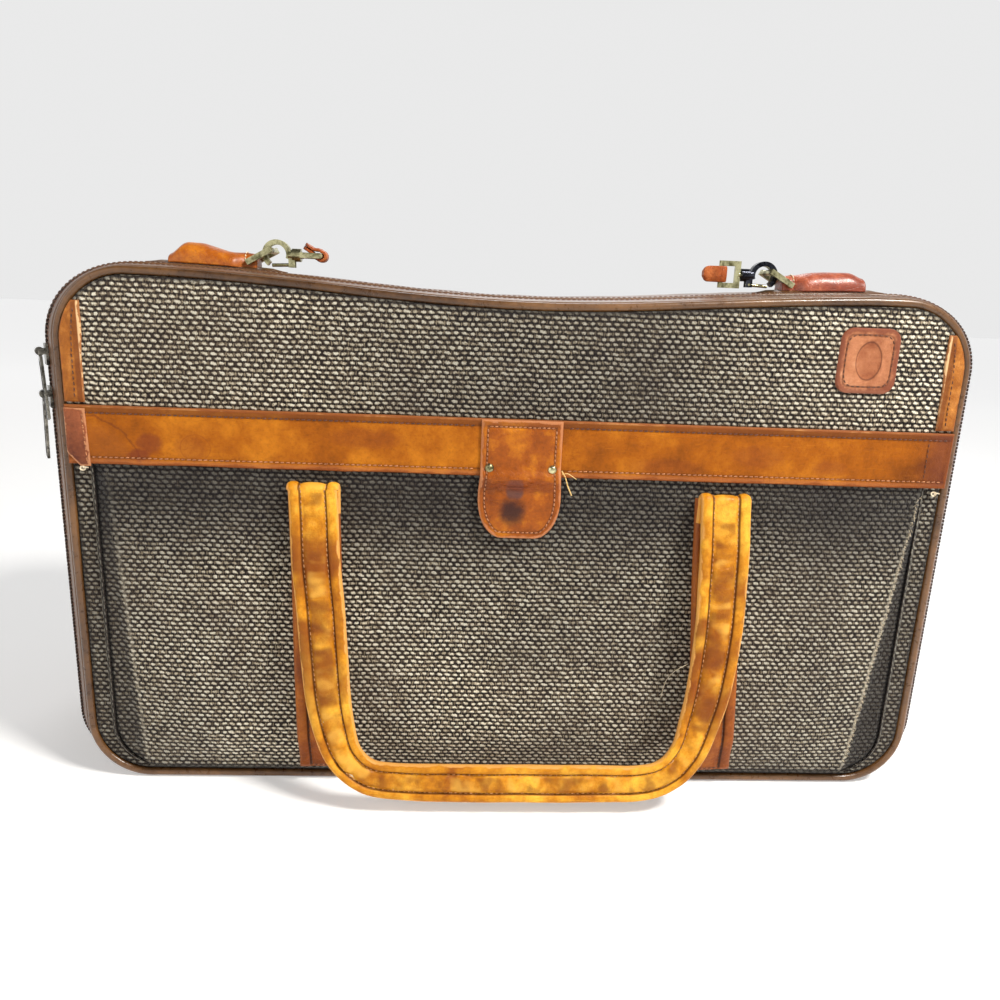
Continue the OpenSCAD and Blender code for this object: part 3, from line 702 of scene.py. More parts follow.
def pocket_painted_light_and_fray(m, colour):
    """Painted shade outside the creases; a pale line on them, a painted highlight on the left
    crease and fray on the right; painted shade under the band, towards the sides, in the middle and
    along the bottom.
    """
    u, v, _ = m.lay()
    for side, dark, pale in ((-1, 0.62, 0.30), (1, 0.86, 0.62)):
        at, lean = CREASES[side]
        crease = v * lean + (at - CREASE_Z * lean) * MM
        off = u * side - crease
        # painted shade on the cloth outside each crease
        colour = m.mix(m.fit(off, 0.0004, 0.004, 0.0, dark), colour, lin(24, 17, 14))
        # pale line along each crease: a painted highlight on the left, fray on the right
        line = m.fit(abs(off), 0.0018, 0.0003, 0.0, pale)
        line = line * m.fit(m.noise(m.where(), 420, 3, 0.7), 0.4, 0.56, 0.15, 1.0)
        colour = m.mix(line, colour, lin(214, 204, 182))
    # painted shade on the pocket under the band
    colour = m.mix(m.stripe(1, 132, 204, 0.82), colour, lin(20, 16, 18))
    # painted shade towards both sides and in the pocket's middle
    colour = m.mix(m.stripe(0, 120, 210, 0.28), colour, lin(24, 19, 18))
    colour = m.mix(m.stripe(0, -150, -225, 0.24), colour, lin(24, 19, 18))
    colour = m.mix(m.blot(30, 150, 120, 60, 2.0, 0.9, 0.3, 0.34), colour, lin(22, 18, 19))
    # painted shade along the bottom edge, where the cloth rolls under
    return m.mix(m.stripe(1, 24, 8, 0.45), colour, lin(30, 22, 16))


def backing_painted_shade(m, colour):
    """Painted shade on the cloth beside the pocket, below the band."""
    return m.mix(m.stripe(1, 222, 214, 0.62), colour, lin(24, 17, 14))


def upper_painted_shade(m, colour):
    # painted shade: the upper cloth darker towards its middle, a little right of centre
    middle = m.fit(abs(m.lay()[0] - 0.03), 0.22, 0.03, 0.0, 0.54)
    return m.mix(middle, colour, lin(28, 24, 24))


# blots on the band: place, size and strength
BAND_BLOTS = ((-232, 223.5, 6.5, 3.6, 0.75), (-225, 231, 7.5, 6.0, 0.6), (-201, 228, 9, 8, 0.28),
              (150, 234, 16, 7, 0.3), (196, 228, 11, 5, 0.35), (-96, 238, 22, 6, 0.25),
              (90, 226, 24, 5, 0.25))


def band_marks(m, colour):
    """Water lines, red-brown blots, the darker strip above the stitching and the worn ends."""
    tide = m.blot(-264, 214, 33, 33, 2.0, ragged=0.35, most=0.6, ring=0.07)
    colour = m.mix(tide, colour, lin(104, 46, 18))
    pool = m.blot(-262, 216, 26, 26, 2.0, 0.25, 0.5, 0.35)
    colour = m.mix(pool, colour, lin(150, 84, 34))
    for cx, cz, rx, rz, most in BAND_BLOTS:
        colour = m.mix(m.blot(cx, cz, rx, rz, 2.0, 0.6, 1.2, most), colour, lin(110, 46, 26))
    ring = m.blot(-198, 229, 9, 8, 2.0, ragged=0.4, most=0.35, ring=0.12)
    colour = m.mix(ring, colour, lin(116, 54, 22))
    colour = m.mix(m.stripe(1, 247.6, 249.4, 0.62), colour, lin(96, 52, 26))
    for z in (248.4, 221.6):
        colour = m.mix(m.seam(m.lay()[1], z, 0.5), colour, lin(66, 30, 12))
    colour = m.mix(m.stripe(1, 251.4, 252.4, 0.8), colour, lin(208, 150, 96))
    colour = m.mix(m.stripe(1, 221.4, 219.0, 0.6), colour, lin(160, 96, 56))
    return m.mix(m.stripe(0, 248, 268, 0.5), colour, lin(96, 50, 44))


def tab_marks(m, colour):
    """Dark marks pressed by the snap behind, the shaded strip at the top, a wet-looking fold."""
    square = m.blot(-3.0, 209.5, 5.4, 6.4, 3.0, 0.6, 0.9, 0.85)
    colour = m.mix(square, colour, lin(86, 56, 52))
    colour = m.mix(m.blot(-4.5, 195.0, 7.5, 8.4, 2.0, 0.9, 1.2, 0.92), colour, lin(44, 18, 16))
    colour = m.mix(m.blot(4, 212, 22, 4, 2.0, 0.6, 1.0, 0.4), colour, lin(142, 62, 14))
    colour = m.mix(m.stripe(1, 247.4, 248.8, 0.55), colour, lin(112, 58, 20))
    return m.mix(m.seam(m.lay()[2], 4.0, 0.6), colour, lin(60, 26, 10))


def welt_groove_shade(m, v, most):
    """Painted shade in the groove between a strap's welts and its padded middle."""
    off = abs(v) - 0.0084
    return m.fit(abs(off), 0.0010, 0.0003, 0.0, most)


def handle_wear_and_painted_light(m, colour):
    """Orange-brown wear where hands have been, along the strap's length; bands of painted shade and
    painted highlight across the padded middle for its puckers; painted shade in the grooves by the
    welts.
    """
    u, v, _ = m.lay()
    patch = m.noise(m.vec(u, v * 0.8, 0.0), 24, 3, 0.6, 0.3)
    pucker_shading = m.noise(m.vec(u, v * 0.55, 0.3), 105, 1, 0.4)
    inside = m.fit(abs(v), 0.0074, 0.0052, 0.0, 1.0)
    middle = m.fit(abs(u - 0.3), 0.08, 0.19, 0.2, 1.0)
    top = m.fit(abs(u - 0.3), 0.265, 0.23, 0.25, 1.0)
    worn = m.fit(patch, 0.42, 0.6, 0.0, 0.85) * (middle * top)
    colour = m.mix(worn, colour, lin(124, 58, 12))
    # bands of painted shade and painted highlight across the padded middle, for its puckers
    colour = m.mix(m.fit(pucker_shading, 0.47, 0.68, 0.0, 0.6) * inside, colour, lin(112, 54, 14))
    colour = m.mix(m.fit(pucker_shading, 0.48, 0.28, 0.0, 0.55) * inside, colour, lin(242, 184, 78))
    # painted shade in the grooves between the welts and the padded middle
    return m.mix(welt_groove_shade(m, v, 0.8), colour, lin(70, 34, 12))


def strap_painted_shade(m, colour):
    # painted shade in the grooves beside the welts
    return m.mix(welt_groove_shade(m, m.lay()[1], 0.85), colour, lin(46, 22, 10))


def badge_marks(m, colour):
    """The pressed oval, darker along its line, a rubbed field and pale scratches."""
    colour = m.mix(m.blot(212, 296, 8.0, 11.5, 2.0, 0.1, 0.15, 0.35), colour, lin(132, 66, 34))
    colour = m.mix(m.blot(212, 296, 8.0, 11.5, 2.0, ragged=0.15, most=0.75, ring=0.16), colour,
                   lin(84, 38, 20))
    colour = m.mix(m.seam(m.lay()[2], 4.2, 0.55), colour, lin(70, 30, 14))
    return m.mix(m.stripe(1, 279.4, 277.2, 0.6), colour, lin(226, 174, 134))


def trim_marks(m, colour):
    """Turned-under inner edge: a darker strip with a pale raw line."""
    inward = abs(m.lay()[0])
    colour = m.mix(m.fit(inward, 0.2668, 0.2656, 0.0, 0.6), colour, lin(96, 44, 18))
    return m.mix(m.fit(inward, 0.2634, 0.2626, 0.0, 0.85), colour, lin(236, 192, 140))


TWEED = tweed("tweed_cloth")
TWEED_POCKET = tweed("tweed_pocket", pocket_painted_light_and_fray)
TWEED_UPPER = tweed("tweed_upper", upper_painted_shade)
TWEED_BACKING = tweed("tweed_backing", backing_painted_shade)
BAND = leather("band_leather", lin(86, 38, 4), lin(156, 84, 8), lin(200, 122, 24),
               edge=lin(128, 66, 26), marks=band_marks, rough=0.42, edge_w=0.002, coat=0.02,
               shine=0.12)
TAB = leather("tab_leather", lin(92, 36, 2), lin(152, 76, 4), lin(208, 126, 14),
              edge=lin(186, 120, 76), rough=0.32,
              patch=18, coat=0.10, edge_w=0.0019, marks=tab_marks, shine=0.2)
# the pale edge colour here is a painted highlight along the welts' rolled edges
HANDLE = leather("handle_leather", lin(148, 80, 8), lin(204, 132, 22), lin(242, 180, 58),
                 rough=0.4, patch=16,
                 edge=lin(226, 164, 86), edge_w=0.0016, spread=(0.36, 0.48, 0.60),
                 marks=handle_wear_and_painted_light, shine=0.16)
SEWN = leather("sewn_strap_leather", lin(92, 38, 8), lin(140, 70, 16), lin(184, 106, 32),
               edge=lin(150, 82, 34),
               rough=0.42, patch=14, marks=strap_painted_shade, edge_w=0.002)
BADGE = leather("badge_leather", lin(132, 72, 42), lin(184, 120, 82), lin(212, 154, 116),
                edge=lin(120, 62, 42), patch=22,
                edge_w=0.0045, marks=badge_marks)
TRIM = leather("trim_leather", lin(112, 56, 14), lin(160, 94, 30), lin(206, 138, 66),
               edge=lin(150, 86, 36), patch=24,
               edge_w=0.0008, marks=trim_marks)
PATCH = leather("end_patch_leather", lin(92, 44, 26), lin(142, 78, 46), lin(178, 106, 68),
                edge=lin(186, 128, 88), patch=30,
                edge_w=0.0012)
HOOD_L = leather("hood_leather_left", lin(112, 50, 8), lin(170, 88, 16), lin(210, 128, 32),
                 rough=0.32, patch=26, coat=0.35)
HOOD_R = leather("hood_leather_right", lin(92, 36, 22), lin(146, 66, 42), lin(196, 112, 80),
                 rough=0.24, patch=24, coat=0.6)
TAIL = leather("strap_tail_leather", lin(112, 50, 22), lin(168, 84, 38), lin(204, 122, 64),
               rough=0.38, patch=40)
PIPING = plain_leather("piping_leather", lin(66, 42, 22), lin(118, 80, 42), 0.3)
GUSSET = plain_leather("gusset_leather", lin(84, 54, 28), lin(112, 75, 40), 0.4, 0.0002, 5)
LINING = weave("lining_cloth", lin(132, 114, 84), lin(186, 168, 134), 1.1)
TAPE = weave("zip_tape_cloth", lin(44, 28, 18), lin(84, 56, 36), 0.8)
TEETH = thread("zip_coil", lin(34, 22, 16), lin(70, 48, 34))
DARK_THREAD = thread("dark_thread", lin(52, 26, 14), lin(112, 64, 40))
TAN_THREAD = thread("tan_thread", lin(120, 66, 32), lin(206, 142, 92))
PALE_THREAD = thread("pale_thread", lin(196, 176, 140), lin(236, 222, 196))
GOLD_THREAD = thread("gold_thread", lin(196, 150, 70), lin(240, 208, 140))
HANDLE_THREAD = thread("handle_thread", lin(112, 62, 28), lin(224, 164, 104))
BRASS = metal("aged_brass", lin(96, 92, 62), lin(206, 200, 156), 0.24, 0.8)
DARK_METAL = metal("dark_steel", lin(20, 20, 24), lin(66, 68, 76), 0.16, 0.8)
PULL_METAL = metal("pull_plate", lin(40, 37, 34), lin(140, 136, 126), 0.22, 0.8)
WIRE = metal("spring_wire", lin(110, 110, 112), lin(176, 176, 178), 0.3)
BOARD = fibreboard("pressed_board", lin(120, 92, 62), lin(176, 144, 104))
CORE = fibreboard("foam_core", lin(190, 174, 140), lin(222, 208, 176))


# ---- cloth panels
def panel_edges(inset, z_from=None, step=3.0):
    """The lower and upper edge of the case's front, as matching lines of points."""
    w = HALF_W - inset
    r_low, r_top = LOW_R - inset, TOP_R - inset
    corner = np.sin(np.linspace(0, np.pi / 2, 16))
    end = FLAT_X + corner * r_low
    end = np.unique(np.concatenate([end, np.array([w])]))
    mid = np.arange(-FLAT_X, FLAT_X + 0.1, step)
    x = np.unique(np.round(np.concatenate([-end, mid, end]), 4))
    ax = np.abs(x)
    low = np.where(ax > FLAT_X, LOW_R - np.sqrt(np.maximum(0, r_low ** 2 - (ax - FLAT_X) ** 2)),
                   inset)
    high = np.where(ax > TOP_FLAT_X,
                    CASE_H - TOP_R + np.sqrt(np.maximum(0, r_top ** 2 - (ax - TOP_FLAT_X) ** 2)),
                    sag_z(np.clip(x, -TOP_FLAT_X, TOP_FLAT_X)) - inset)
    if z_from is not None:
        low = np.full(len(x), float(z_from))
    return np.stack([x, low], 1), np.stack([x, high], 1)


def front_backing():
    low, high = panel_edges(INSET)
    grid = fill(low, high, 80)
    ob = relief("front_backing_cloth", grid, -1, -100.0, CLOTH,
                lambda x, z, d: 0.25 * waves(x, z, 3, 90), edge_r=1.8, recess=flat)
    place(ob, "lid", TWEED_BACKING, ["front_panel"])
    return ob


def upper_cloth():
    low, high = panel_edges(INSET, 244.0)
    grid = fill(low, high, 34)

    def puff(x, z, d):
        t = smooth(z, 256, 285) * smooth(d, 0, 22)
        return t * (1.5 + 1.1 * waves(x, z, 5, 150) + 0.25 * waves(x, z, 6, 38))

    ob = relief("upper_cloth", grid, -1, -102.2, CLOTH, puff, edge_r=3.2)
    place(ob, "lid", TWEED_UPPER, ["upper_panel"])
    return ob


def strap_keepout(x, z):
    """1 away from the sewn straps and 0 under them."""
    centre = STRAP_X + SPLAY * (1 - np.clip((z - 12) / 200, 0, 1))
    off = np.abs(np.abs(x) - centre)
    return smooth(off, 15, 42)


def bag_swell(x, z):
    """How far the full pocket stands out: most low down, nothing under band, tab and edges."""
    rise = smooth(-z, -168, -60) * smooth(z, 10, 40)
    inside = 1 - smooth(np.abs(x), 195, 258)
    tab = 1 - hump(x, 0, 34) * smooth(z, 150, 176)
    return inside * tab * rise * (5.2 + 1.2 * waves(x, z, 8, 130))


def pocket_cloth():
    half, low_z, high_z, r = 262.0, 9.0, 240.0, 30.0
    corner = half - r + np.sin(np.linspace(0, np.pi / 2, 14)) * r
    mid = np.arange(-(half - r), half - r + 0.1, 3.0)
    x = np.unique(np.round(np.concatenate([-corner, mid, corner]), 4))
    ax = np.abs(x)
    low = np.where(ax > half - r, low_z + r - np.sqrt(np.maximum(0, r * r - (ax - half + r) ** 2)),
                   low_z)
    grid = fill(np.stack([x, low], 1), np.stack([x, np.full(len(x), high_z)], 1), 84)

    def puff(x, z, d):
        swell = bag_swell(x, z)
        side = np.where(x < 0, -x - crease_x(-1, z), x - crease_x(1, z))
        turned = 2.5 * smooth(side, -1.5, 8)
        return swell + 0.12 * smooth(d, 4, 10) * waves(x, z, 9, 30) - turned

    ob = relief("pocket_cloth", grid, -1, POCKET_Y, CLOTH, puff, edge_r=3.6, recess=lambda x, z,
                d: puff(x, z, d) * 0.94)
    place(ob, "lid", TWEED_POCKET, ["pocket_panel"])
    # the pocket's narrow turned-in side
    rim = np.concatenate([grid[0][::-1], grid[1:-1, 0], grid[-1]])
    outer = np.stack([rim[:, 0], np.full(len(rim), POCKET_Y + 1.2), rim[:, 1]], 1)
    away = rim - np.array([0, 125.0])
    away = away / np.linalg.norm(away, axis=1)[:, None]
    grid3 = np.stack([
        outer + np.stack([-away[:, 0] * 1.2, 0 * away[:, 0], -away[:, 1] * 1.2], 1),
        outer + np.stack([away[:, 0] * 0.4, 0 * away[:, 0] + 1.2, away[:, 1] * 0.4], 1),
        outer + np.stack([away[:, 0] * 2.2, 0 * away[:, 0] + 3.2, away[:, 1] * 2.2], 1)])
    inner = grid3 + np.array([0, 0.25, 0]) - np.stack([away[:, 0] * 0.5, 0 * away[:, 0],
                                                       away[:, 1] * 0.5], 1)[None]
    pts, faces = slab(grid3, inner)
    s = run_length(rim)
    depth, along = np.meshgrid([0, 2.4, 5.0], s, indexing="ij")
    lay = np.stack([along, depth, np.full(along.shape, 3.0)], -1).reshape(-1, 3)
    side = mesh_object("pocket_side_cloth", pts, faces, np.concatenate([lay, lay]))
    place(side, "lid", TWEED_BACKING)
    return ob


def back_cloth():
    low, high = panel_edges(INSET)
    grid = fill(low, high, 84)

    def puff(x, z, d):
        keep = strap_keepout(x, z)
        swell = smooth(d, 2, 40) * keep * (1.6 + waves(x, z, 21, 130))
        return swell + 0.1 * waves(x, z, 22, 30) * smooth(d, 4, 10)

    ob = relief("back_cloth", grid, 1, 100.0, CLOTH, puff, edge_r=3.2, recess=flat)
    place(ob, "shell", TWEED, ["back_panel"])
    return ob


# ---- walls, piping, zip
def wall(name, ys, inset, thick, body, material, stands_for, wrinkle=0.0, seed=1,
         base=False, roll=0.0, step=4.0):
    path = outline(step, base)
    ys = np.asarray(ys, float)
    s = run_length(path[:, :2])
    yy, ss = np.meshgrid(ys, s, indexing="ij")
    edge = np.minimum(np.abs(yy - ys[0]), np.abs(yy - ys[-1]))
    extra = wrinkle * waves(ss, yy, seed, 60) * smooth(edge, 0, 14)
    if roll:
        k = 1 - np.clip(edge / roll, 0, 1)
        extra = extra - roll * (1 - np.sqrt(np.maximum(0, 1 - k * k)))
    outer = skin(path, ys, inset, extra)
    inner = skin(path, ys, inset + thick, np.minimum(extra, 0) * 0.3)
    pts, faces = slab(outer, inner, wrap_cols=base)
    lay = np.stack([ss, yy, edge], -1).reshape(-1, 3)
    ob = mesh_object(name, pts, faces, np.concatenate([lay, lay]))
    return place(ob, body, material, stands_for)


def steps(a, b, first=0.8, most=6.0):
    """Depths from a to b, close together at both ends."""
    n = max(4, int((b - a) / most))
    mid = np.linspace(a, b, n + 1)
    ends = np.array([first * 0.35, first, first * 2.0])
    return np.unique(np.concatenate([[a], a + ends, mid[1:-1], b - ends, [b]]))


def base_cloth(name, y0, y1, body, stands_for):
    x = np.linspace(-FLAT_X, FLAT_X, 120)
    y = steps(y0, y1)
    xx, yy = np.meshgrid(x, y, indexing="xy")
    edge = np.minimum(yy - y0, y1 - yy)
    lift = 0.5 * np.exp(-edge / 0.6)
    outer = np.stack([xx, yy, lift], -1)
    inner = np.stack([xx, yy, np.full(xx.shape, CLOTH)], -1)
    pts, faces = slab(outer, inner)
    lay = np.stack([xx, yy, edge], -1).reshape(-1, 3)
    ob = mesh_object(name, pts, faces, np.concatenate([lay, lay]))
    return place(ob, body, GUSSET, stands_for)


def piping(name, y, body, node, seed):
    path = outline(3.0)
    s = run_length(path[:, :2])
    n = np.stack([np.cos(path[:, 2]), np.sin(path[:, 2])], 1)
    wob = 0.18 * waves(s, 0 * s, seed, 55)
    p = path[:, :2] - n * (PIPE_R - wob * smooth(path[:, 1], 3, 12))[:, None]
    line = np.stack([p[:, 0], y + 0.15 * waves(s, 0 * s, seed + 1, 70), p[:, 1]], 1)
    r = PIPE_R * (1 + 0.03 * waves(s, 0 * s, seed + 2, 20))
    pts, faces = tube(line, r, 14, closed=True)
    ob = mesh_object(name, pts, faces, np.zeros((len(pts), 3)), sharp=180)
    return place(ob, body, PIPING, [node])


def seam_shadow_tape(name, y, body, sign):
    """The flange that joins the piping to the panel, sunk behind both; it is dark to stand for the
    shade in the seam.
    """
    path = outline(4.0)
    n = np.stack([np.cos(path[:, 2]), np.sin(path[:, 2])], 1)
    a = path[:, :2] - n * 3.2
    b = path[:, :2] - n * 9.0
    outer = np.stack([np.stack([a[:, 0], np.full(len(a), y), a[:, 1]], 1),
                      np.stack([b[:, 0], np.full(len(a), y), b[:, 1]], 1)])
    inner = outer - np.array([0, sign * 0.6, 0])
    pts, faces = slab(outer, inner, wrap_cols=True)
    ob = mesh_object(name, pts, faces, np.zeros((len(pts), 3)))
    return place(ob, body, TAPE)


TOOTH = 2.4


def zip_teeth(name, side, body, node):
    """The coil's turns on one tape; the two sides mesh half a turn apart."""
    path = outline(2.0, base=False)
    line = skin(path, [ZIP_Y], 0.9)[0]
    ring = skin(path, [ZIP_Y], 3.0)[0]
    c, t = resample(line, TOOTH, start=6 + (TOOTH / 2 if side > 0 else 0), end=6)
    tree_n = line - ring
    tree_n /= np.linalg.norm(tree_n, axis=1)[:, None]
    n = tree_n[nearest(line, c)]
    along = np.cross(t, n)
    along /= np.linalg.norm(along, axis=1)[:, None]
    if (along[0][1] > 0) != (side > 0):
        along = -along
    slope = along.copy()
    centre = c + slope * 1.35
    a = beads(centre, along, n, 3.9, 1.25, 1.5)
    b = beads(c + slope * 2.6, t, n, 2.3, 1.1, 1.3)
    ob = mesh_object(name, *join([a, b]), sharp=180, fix=False)
    return place(ob, body, TEETH, [node])


def shell_and_lid():
    wall("shell_wall", steps(-78.9, 96.2), 0.0, CLOTH, "shell", GUSSET, ["shell_gusset"],
         0.55, 31, roll=0.8)
    wall("lid_wall", steps(-96.2, -84.9, 0.6, 1.2), 0.0, CLOTH, "lid", GUSSET,
         ["lid_gusset"], 0.1, 32, roll=0.6)
    base_cloth("shell_base", -81.8, 96.2, "shell", ["base_panel"])
    base_cloth("lid_base_cloth", -96.2, -82.2, "lid", ["lid_base"])
    piping("front_piping_cord", -99.0, "lid", "front_piping", 41)
    piping("rear_piping_cord", 99.0, "shell", "rear_piping", 44)
    seam_shadow_tape("front_seam_flange", -96.9, "lid", -1)
    seam_shadow_tape("rear_seam_flange", 96.9, "shell", 1)
    wall("shell_tape", [-81.3, -79.0, -77.0, -73.0, -69.3], 2.2, 0.8, "shell", TAPE,
         ["shell_zip_tape"])
    wall("lid_tape", [-90.7, -88.0, -85.0, -82.7], 2.2, 0.8, "lid", TAPE,
         ["lid_zip_tape"])
    zip_teeth("lid_coil", -1, "lid", "lid_zip_teeth")
    zip_teeth("shell_coil", 1, "shell", "shell_zip_teeth")
    path = outline(3.0, base=False)
    for y, body, nm in ((-76.6, "shell", "shell_zip_stitches"), (-87.0, "lid", "lid_zip_stitches")):
        p = skin(path, [y], -0.05)[0]
        q = skin(path, [y], 2.0)[0]
        c, t = resample(p, STITCH_PITCH)
        n = (p - q)[nearest(p, c)]
        n /= np.linalg.norm(n, axis=1)[:, None]
        ob = mesh_object(nm, *beads(c, t, n, 2.2, 0.7, 0.7), sharp=180, fix=False)
        place(ob, body, DARK_THREAD)


def inside():
    """Lining, seen when the lid is down."""
    wall("lining_wall_cloth", np.linspace(-66.7, 94.0, 34), 6.2, 1.0, "shell", LINING,
         ["lining_walls"],
         -0.35, 51, base=True)
    low, high = panel_edges(6.4)
    ob = relief("lining_back_cloth", fill(low, high, 60), -1, 94.2, 1.0,
                lambda x, z, d: smooth(d, 4, 30) * (0.6 + 0.5 * waves(x, z, 53, 90)), edge_r=0.6,
                recess=flat)
    place(ob, "shell", LINING, ["lining_back"])
    low, high = panel_edges(INSET + 2)
    ob = relief("lid_lining_cloth", fill(low, high, 60), 1, -94.6, 1.0,
                lambda x, z, d: smooth(d, 4, 30) * (0.7 + 0.5 * waves(x, z, 54, 90)), edge_r=0.6,
                recess=flat)
    place(ob, "lid", LINING, ["lid_lining"])


# ---- band, trims, badge and tab
def flat_grid(x0, x1, z0, z1, nx, nz):
    t = np.linspace(0, 1, nx)
    low = np.stack([x0 + (x1 - x0) * t, np.full(nx, z0)], 1)
    high = np.stack([x0 + (x1 - x0) * t, np.full(nx, z1)], 1)
    return fill(low, high, nz)


def band():
    half = 273.8
    x = np.unique(np.round(np.concatenate([np.linspace(-half, -half + 4, 6),
                                           np.arange(-268, 268.1, 2.0),
                                           np.linspace(half - 4, half, 6)]), 3))
    wob_low = 0.5 * waves(x, 0 * x, 61, 120)
    wob_high = 0.5 * waves(x, 0 * x, 62, 140)
    grid = fill(np.stack([x, BAND_LOW + np.abs(wob_low)], 1),
                np.stack([x, BAND_HIGH - np.abs(wob_high)], 1), 26)

    def puff(x, z, d):
        mid = smooth(d, 5.0, 10)
        groove = 0.45 * np.exp(-((d - 4.3) / 0.8) ** 2)
        under_tab = 1 - hump(x, 0, 26) ** 0.5
        padding = mid * (0.12 + 0.22 * waves(x, z, 63, 34))
        return (padding + 0.15 * waves(x, z, 64, 90)) * under_tab - groove

    ob = relief("band_leather", grid, -1, BAND_Y, CLOTH, puff, edge_r=0.7, recess=flat)
    place(ob, "lid", BAND, ["pocket_band"])
    # the band's folded hem that joins it to the cloth above
    hem = flat_grid(-half, half, 248.2, 252.6, 120, 5)
    ob = relief("band_hem", hem, -1, -105.0, 2.3, None, edge_r=0.4)
    place(ob, "lid", BAND)
    y = BAND_Y - 0.02
    xs = np.linspace(-half + 3, half - 3, 300)

    def row(z):
        left = xs[xs < -27]
        right = xs[xs > 27]
        return [(np.stack([s, np.full(len(s), y), np.full(len(s), z)], 1), OUT_FRONT)
                for s in (left, right)]

    stitches("band_stitches_top", row(BAND_HIGH - 4.6), "lid", DARK_THREAD)
    stitches("band_stitches_low", row(BAND_LOW + 4.6), "lid", TAN_THREAD)
    end = [(np.stack([np.full(20, 258.0), np.full(20, y), np.linspace(BAND_LOW + 6, BAND_HIGH - 6,
                                                                      20)], 1), OUT_FRONT)]
    stitches("band_stitches_end", end, "lid", DARK_THREAD)
    # folded end patch on the left
    z = np.linspace(216.0, 251.0, 26)
    outer_x = np.where(z < 224, -266.5 - (z - 216) * 0.9, -273.7)
    inner_x = -260.5 - (z - 216) / 35
    grid = fill(np.stack([outer_x, z], 1), np.stack([inner_x, z], 1), 12)
    ob = relief("band_end_patch", grid, -1, BAND_Y - 1.0, 1.0,
                lambda x, z, d: smooth(d, 0, 4) * (0.5 + 0.4 * waves(x, z, 66, 14)), edge_r=0.6,
                recess=flat)
    place(ob, "lid", PATCH)
    line = np.stack([inner_x[1:-1] - 1.6, np.full(len(z) - 2, BAND_Y - 1.3), z[1:-1]], 1)
    stitches("end_patch_stitches", [(line, OUT_FRONT)], "lid", TAN_THREAD)


def side_trims():
    def puff(x, z, d):
        return smooth(d, 1, 4) * (0.4 + 0.35 * waves(x, z, 72, 22)) - 0.35 * hump(z, 270, 1.6)

    for side, nm in ((-1, "left"), (1, "right")):
        z = np.concatenate([np.linspace(254.2, 296, 22), np.linspace(298, 313.5, 10)])
        r = TOP_R - INSET - 0.4
        outer = np.where(z < CASE_H - TOP_R, HALF_W - INSET - 0.4,
                         TOP_FLAT_X + np.sqrt(np.maximum(0, r * r - (z - CASE_H + TOP_R) ** 2)))
        inner = 262.6 - 1.2 * smooth(z, 270, 300) + 0.5 * waves(z, 0 * z, 71, 30)
        inner = np.minimum(inner, outer - 2.0)
        grid = fill(np.stack([side * outer, z], 1), np.stack([side * inner, z], 1), 12)
        ob = relief(f"side_trim_leather_{nm}", grid, -1, -104.0, 1.4, puff, edge_r=0.6, recess=flat)
        place(ob, "lid", TRIM, [f"side_trim_{nm}"])
        k = slice(1, -2)
        mid = (outer * 0.42 + inner * 0.58)[k]
        line = np.stack([side * mid, np.full(len(mid), -104.5), z[k]], 1)
        stitches(f"side_trim_stitches_{nm}", [(line, OUT_FRONT)], "lid", DARK_THREAD)


def badge():
    cx, z0, w, h, r = 212.0, 276.0, 38.0, 40.0, 8.0
    turn = np.linspace(0, np.pi / 2, 8)
    z = np.concatenate([z0 + r - r * np.cos(turn), np.linspace(z0 + r + 2, z0 + h - r - 2, 18),
                        z0 + h - r + r * np.sin(turn)])
    near = np.minimum(z - z0, z0 + h - z)
    k = np.clip(1 - near / r, 0, 1)
    half = w / 2 - r * (1 - np.sqrt(np.maximum(0, 1 - k * k)))
    grid = fill(np.stack([cx - half, z], 1), np.stack([cx + half, z], 1), 36, ease=False)

    def puff(x, z, d):
        e = np.sqrt(((x - cx) / 7.9) ** 2 + ((z - (z0 + h / 2)) / 11.4) ** 2)
        oval = -0.45 * (1 - smooth(e, 0.9, 1.02)) + 0.25 * np.exp(-((e - 1.08) / 0.06) ** 2)
        groove = -0.35 * np.exp(-((d - 4.2) / 0.7) ** 2)
        return oval + groove + 0.12 * waves(x, z, 81, 18) * smooth(d, 0, 4)

    ob = relief("badge_patch", grid, -1, -104.4, CLOTH, puff, edge_r=0.9, recess=flat)
    place(ob, "lid", BADGE, ["badge"])
    e = 4.2
    a = np.linspace(0, 2 * np.pi, 120)
    sx = np.sign(np.cos(a)) * np.abs(np.cos(a)) ** 0.42 * (w / 2 - e)
    sz = np.sign(np.sin(a)) * np.abs(np.sin(a)) ** 0.42 * (h / 2 - e)
    line = np.stack([cx + sx, np.full(len(a), -104.35), z0 + h / 2 + sz], 1)
    stitches("badge_stitches", [(line, OUT_FRONT)], "lid", DARK_THREAD, slant=0.0)


TAB_TOP, TAB_LOW = 252.5, 177.6
RIVET_X, RIVET_Z = 19.5, 222.5
TAB_FOLD_OUT = 3.4


def tab_half(z):
    side = 25.0 + smooth(-z, -222, -204)
    t = np.clip((203 - z) / (203 - TAB_LOW), 0, 1)
    return side - 15.5 * (1 - np.sqrt(np.maximum(0, 1 - t ** 2.0)))


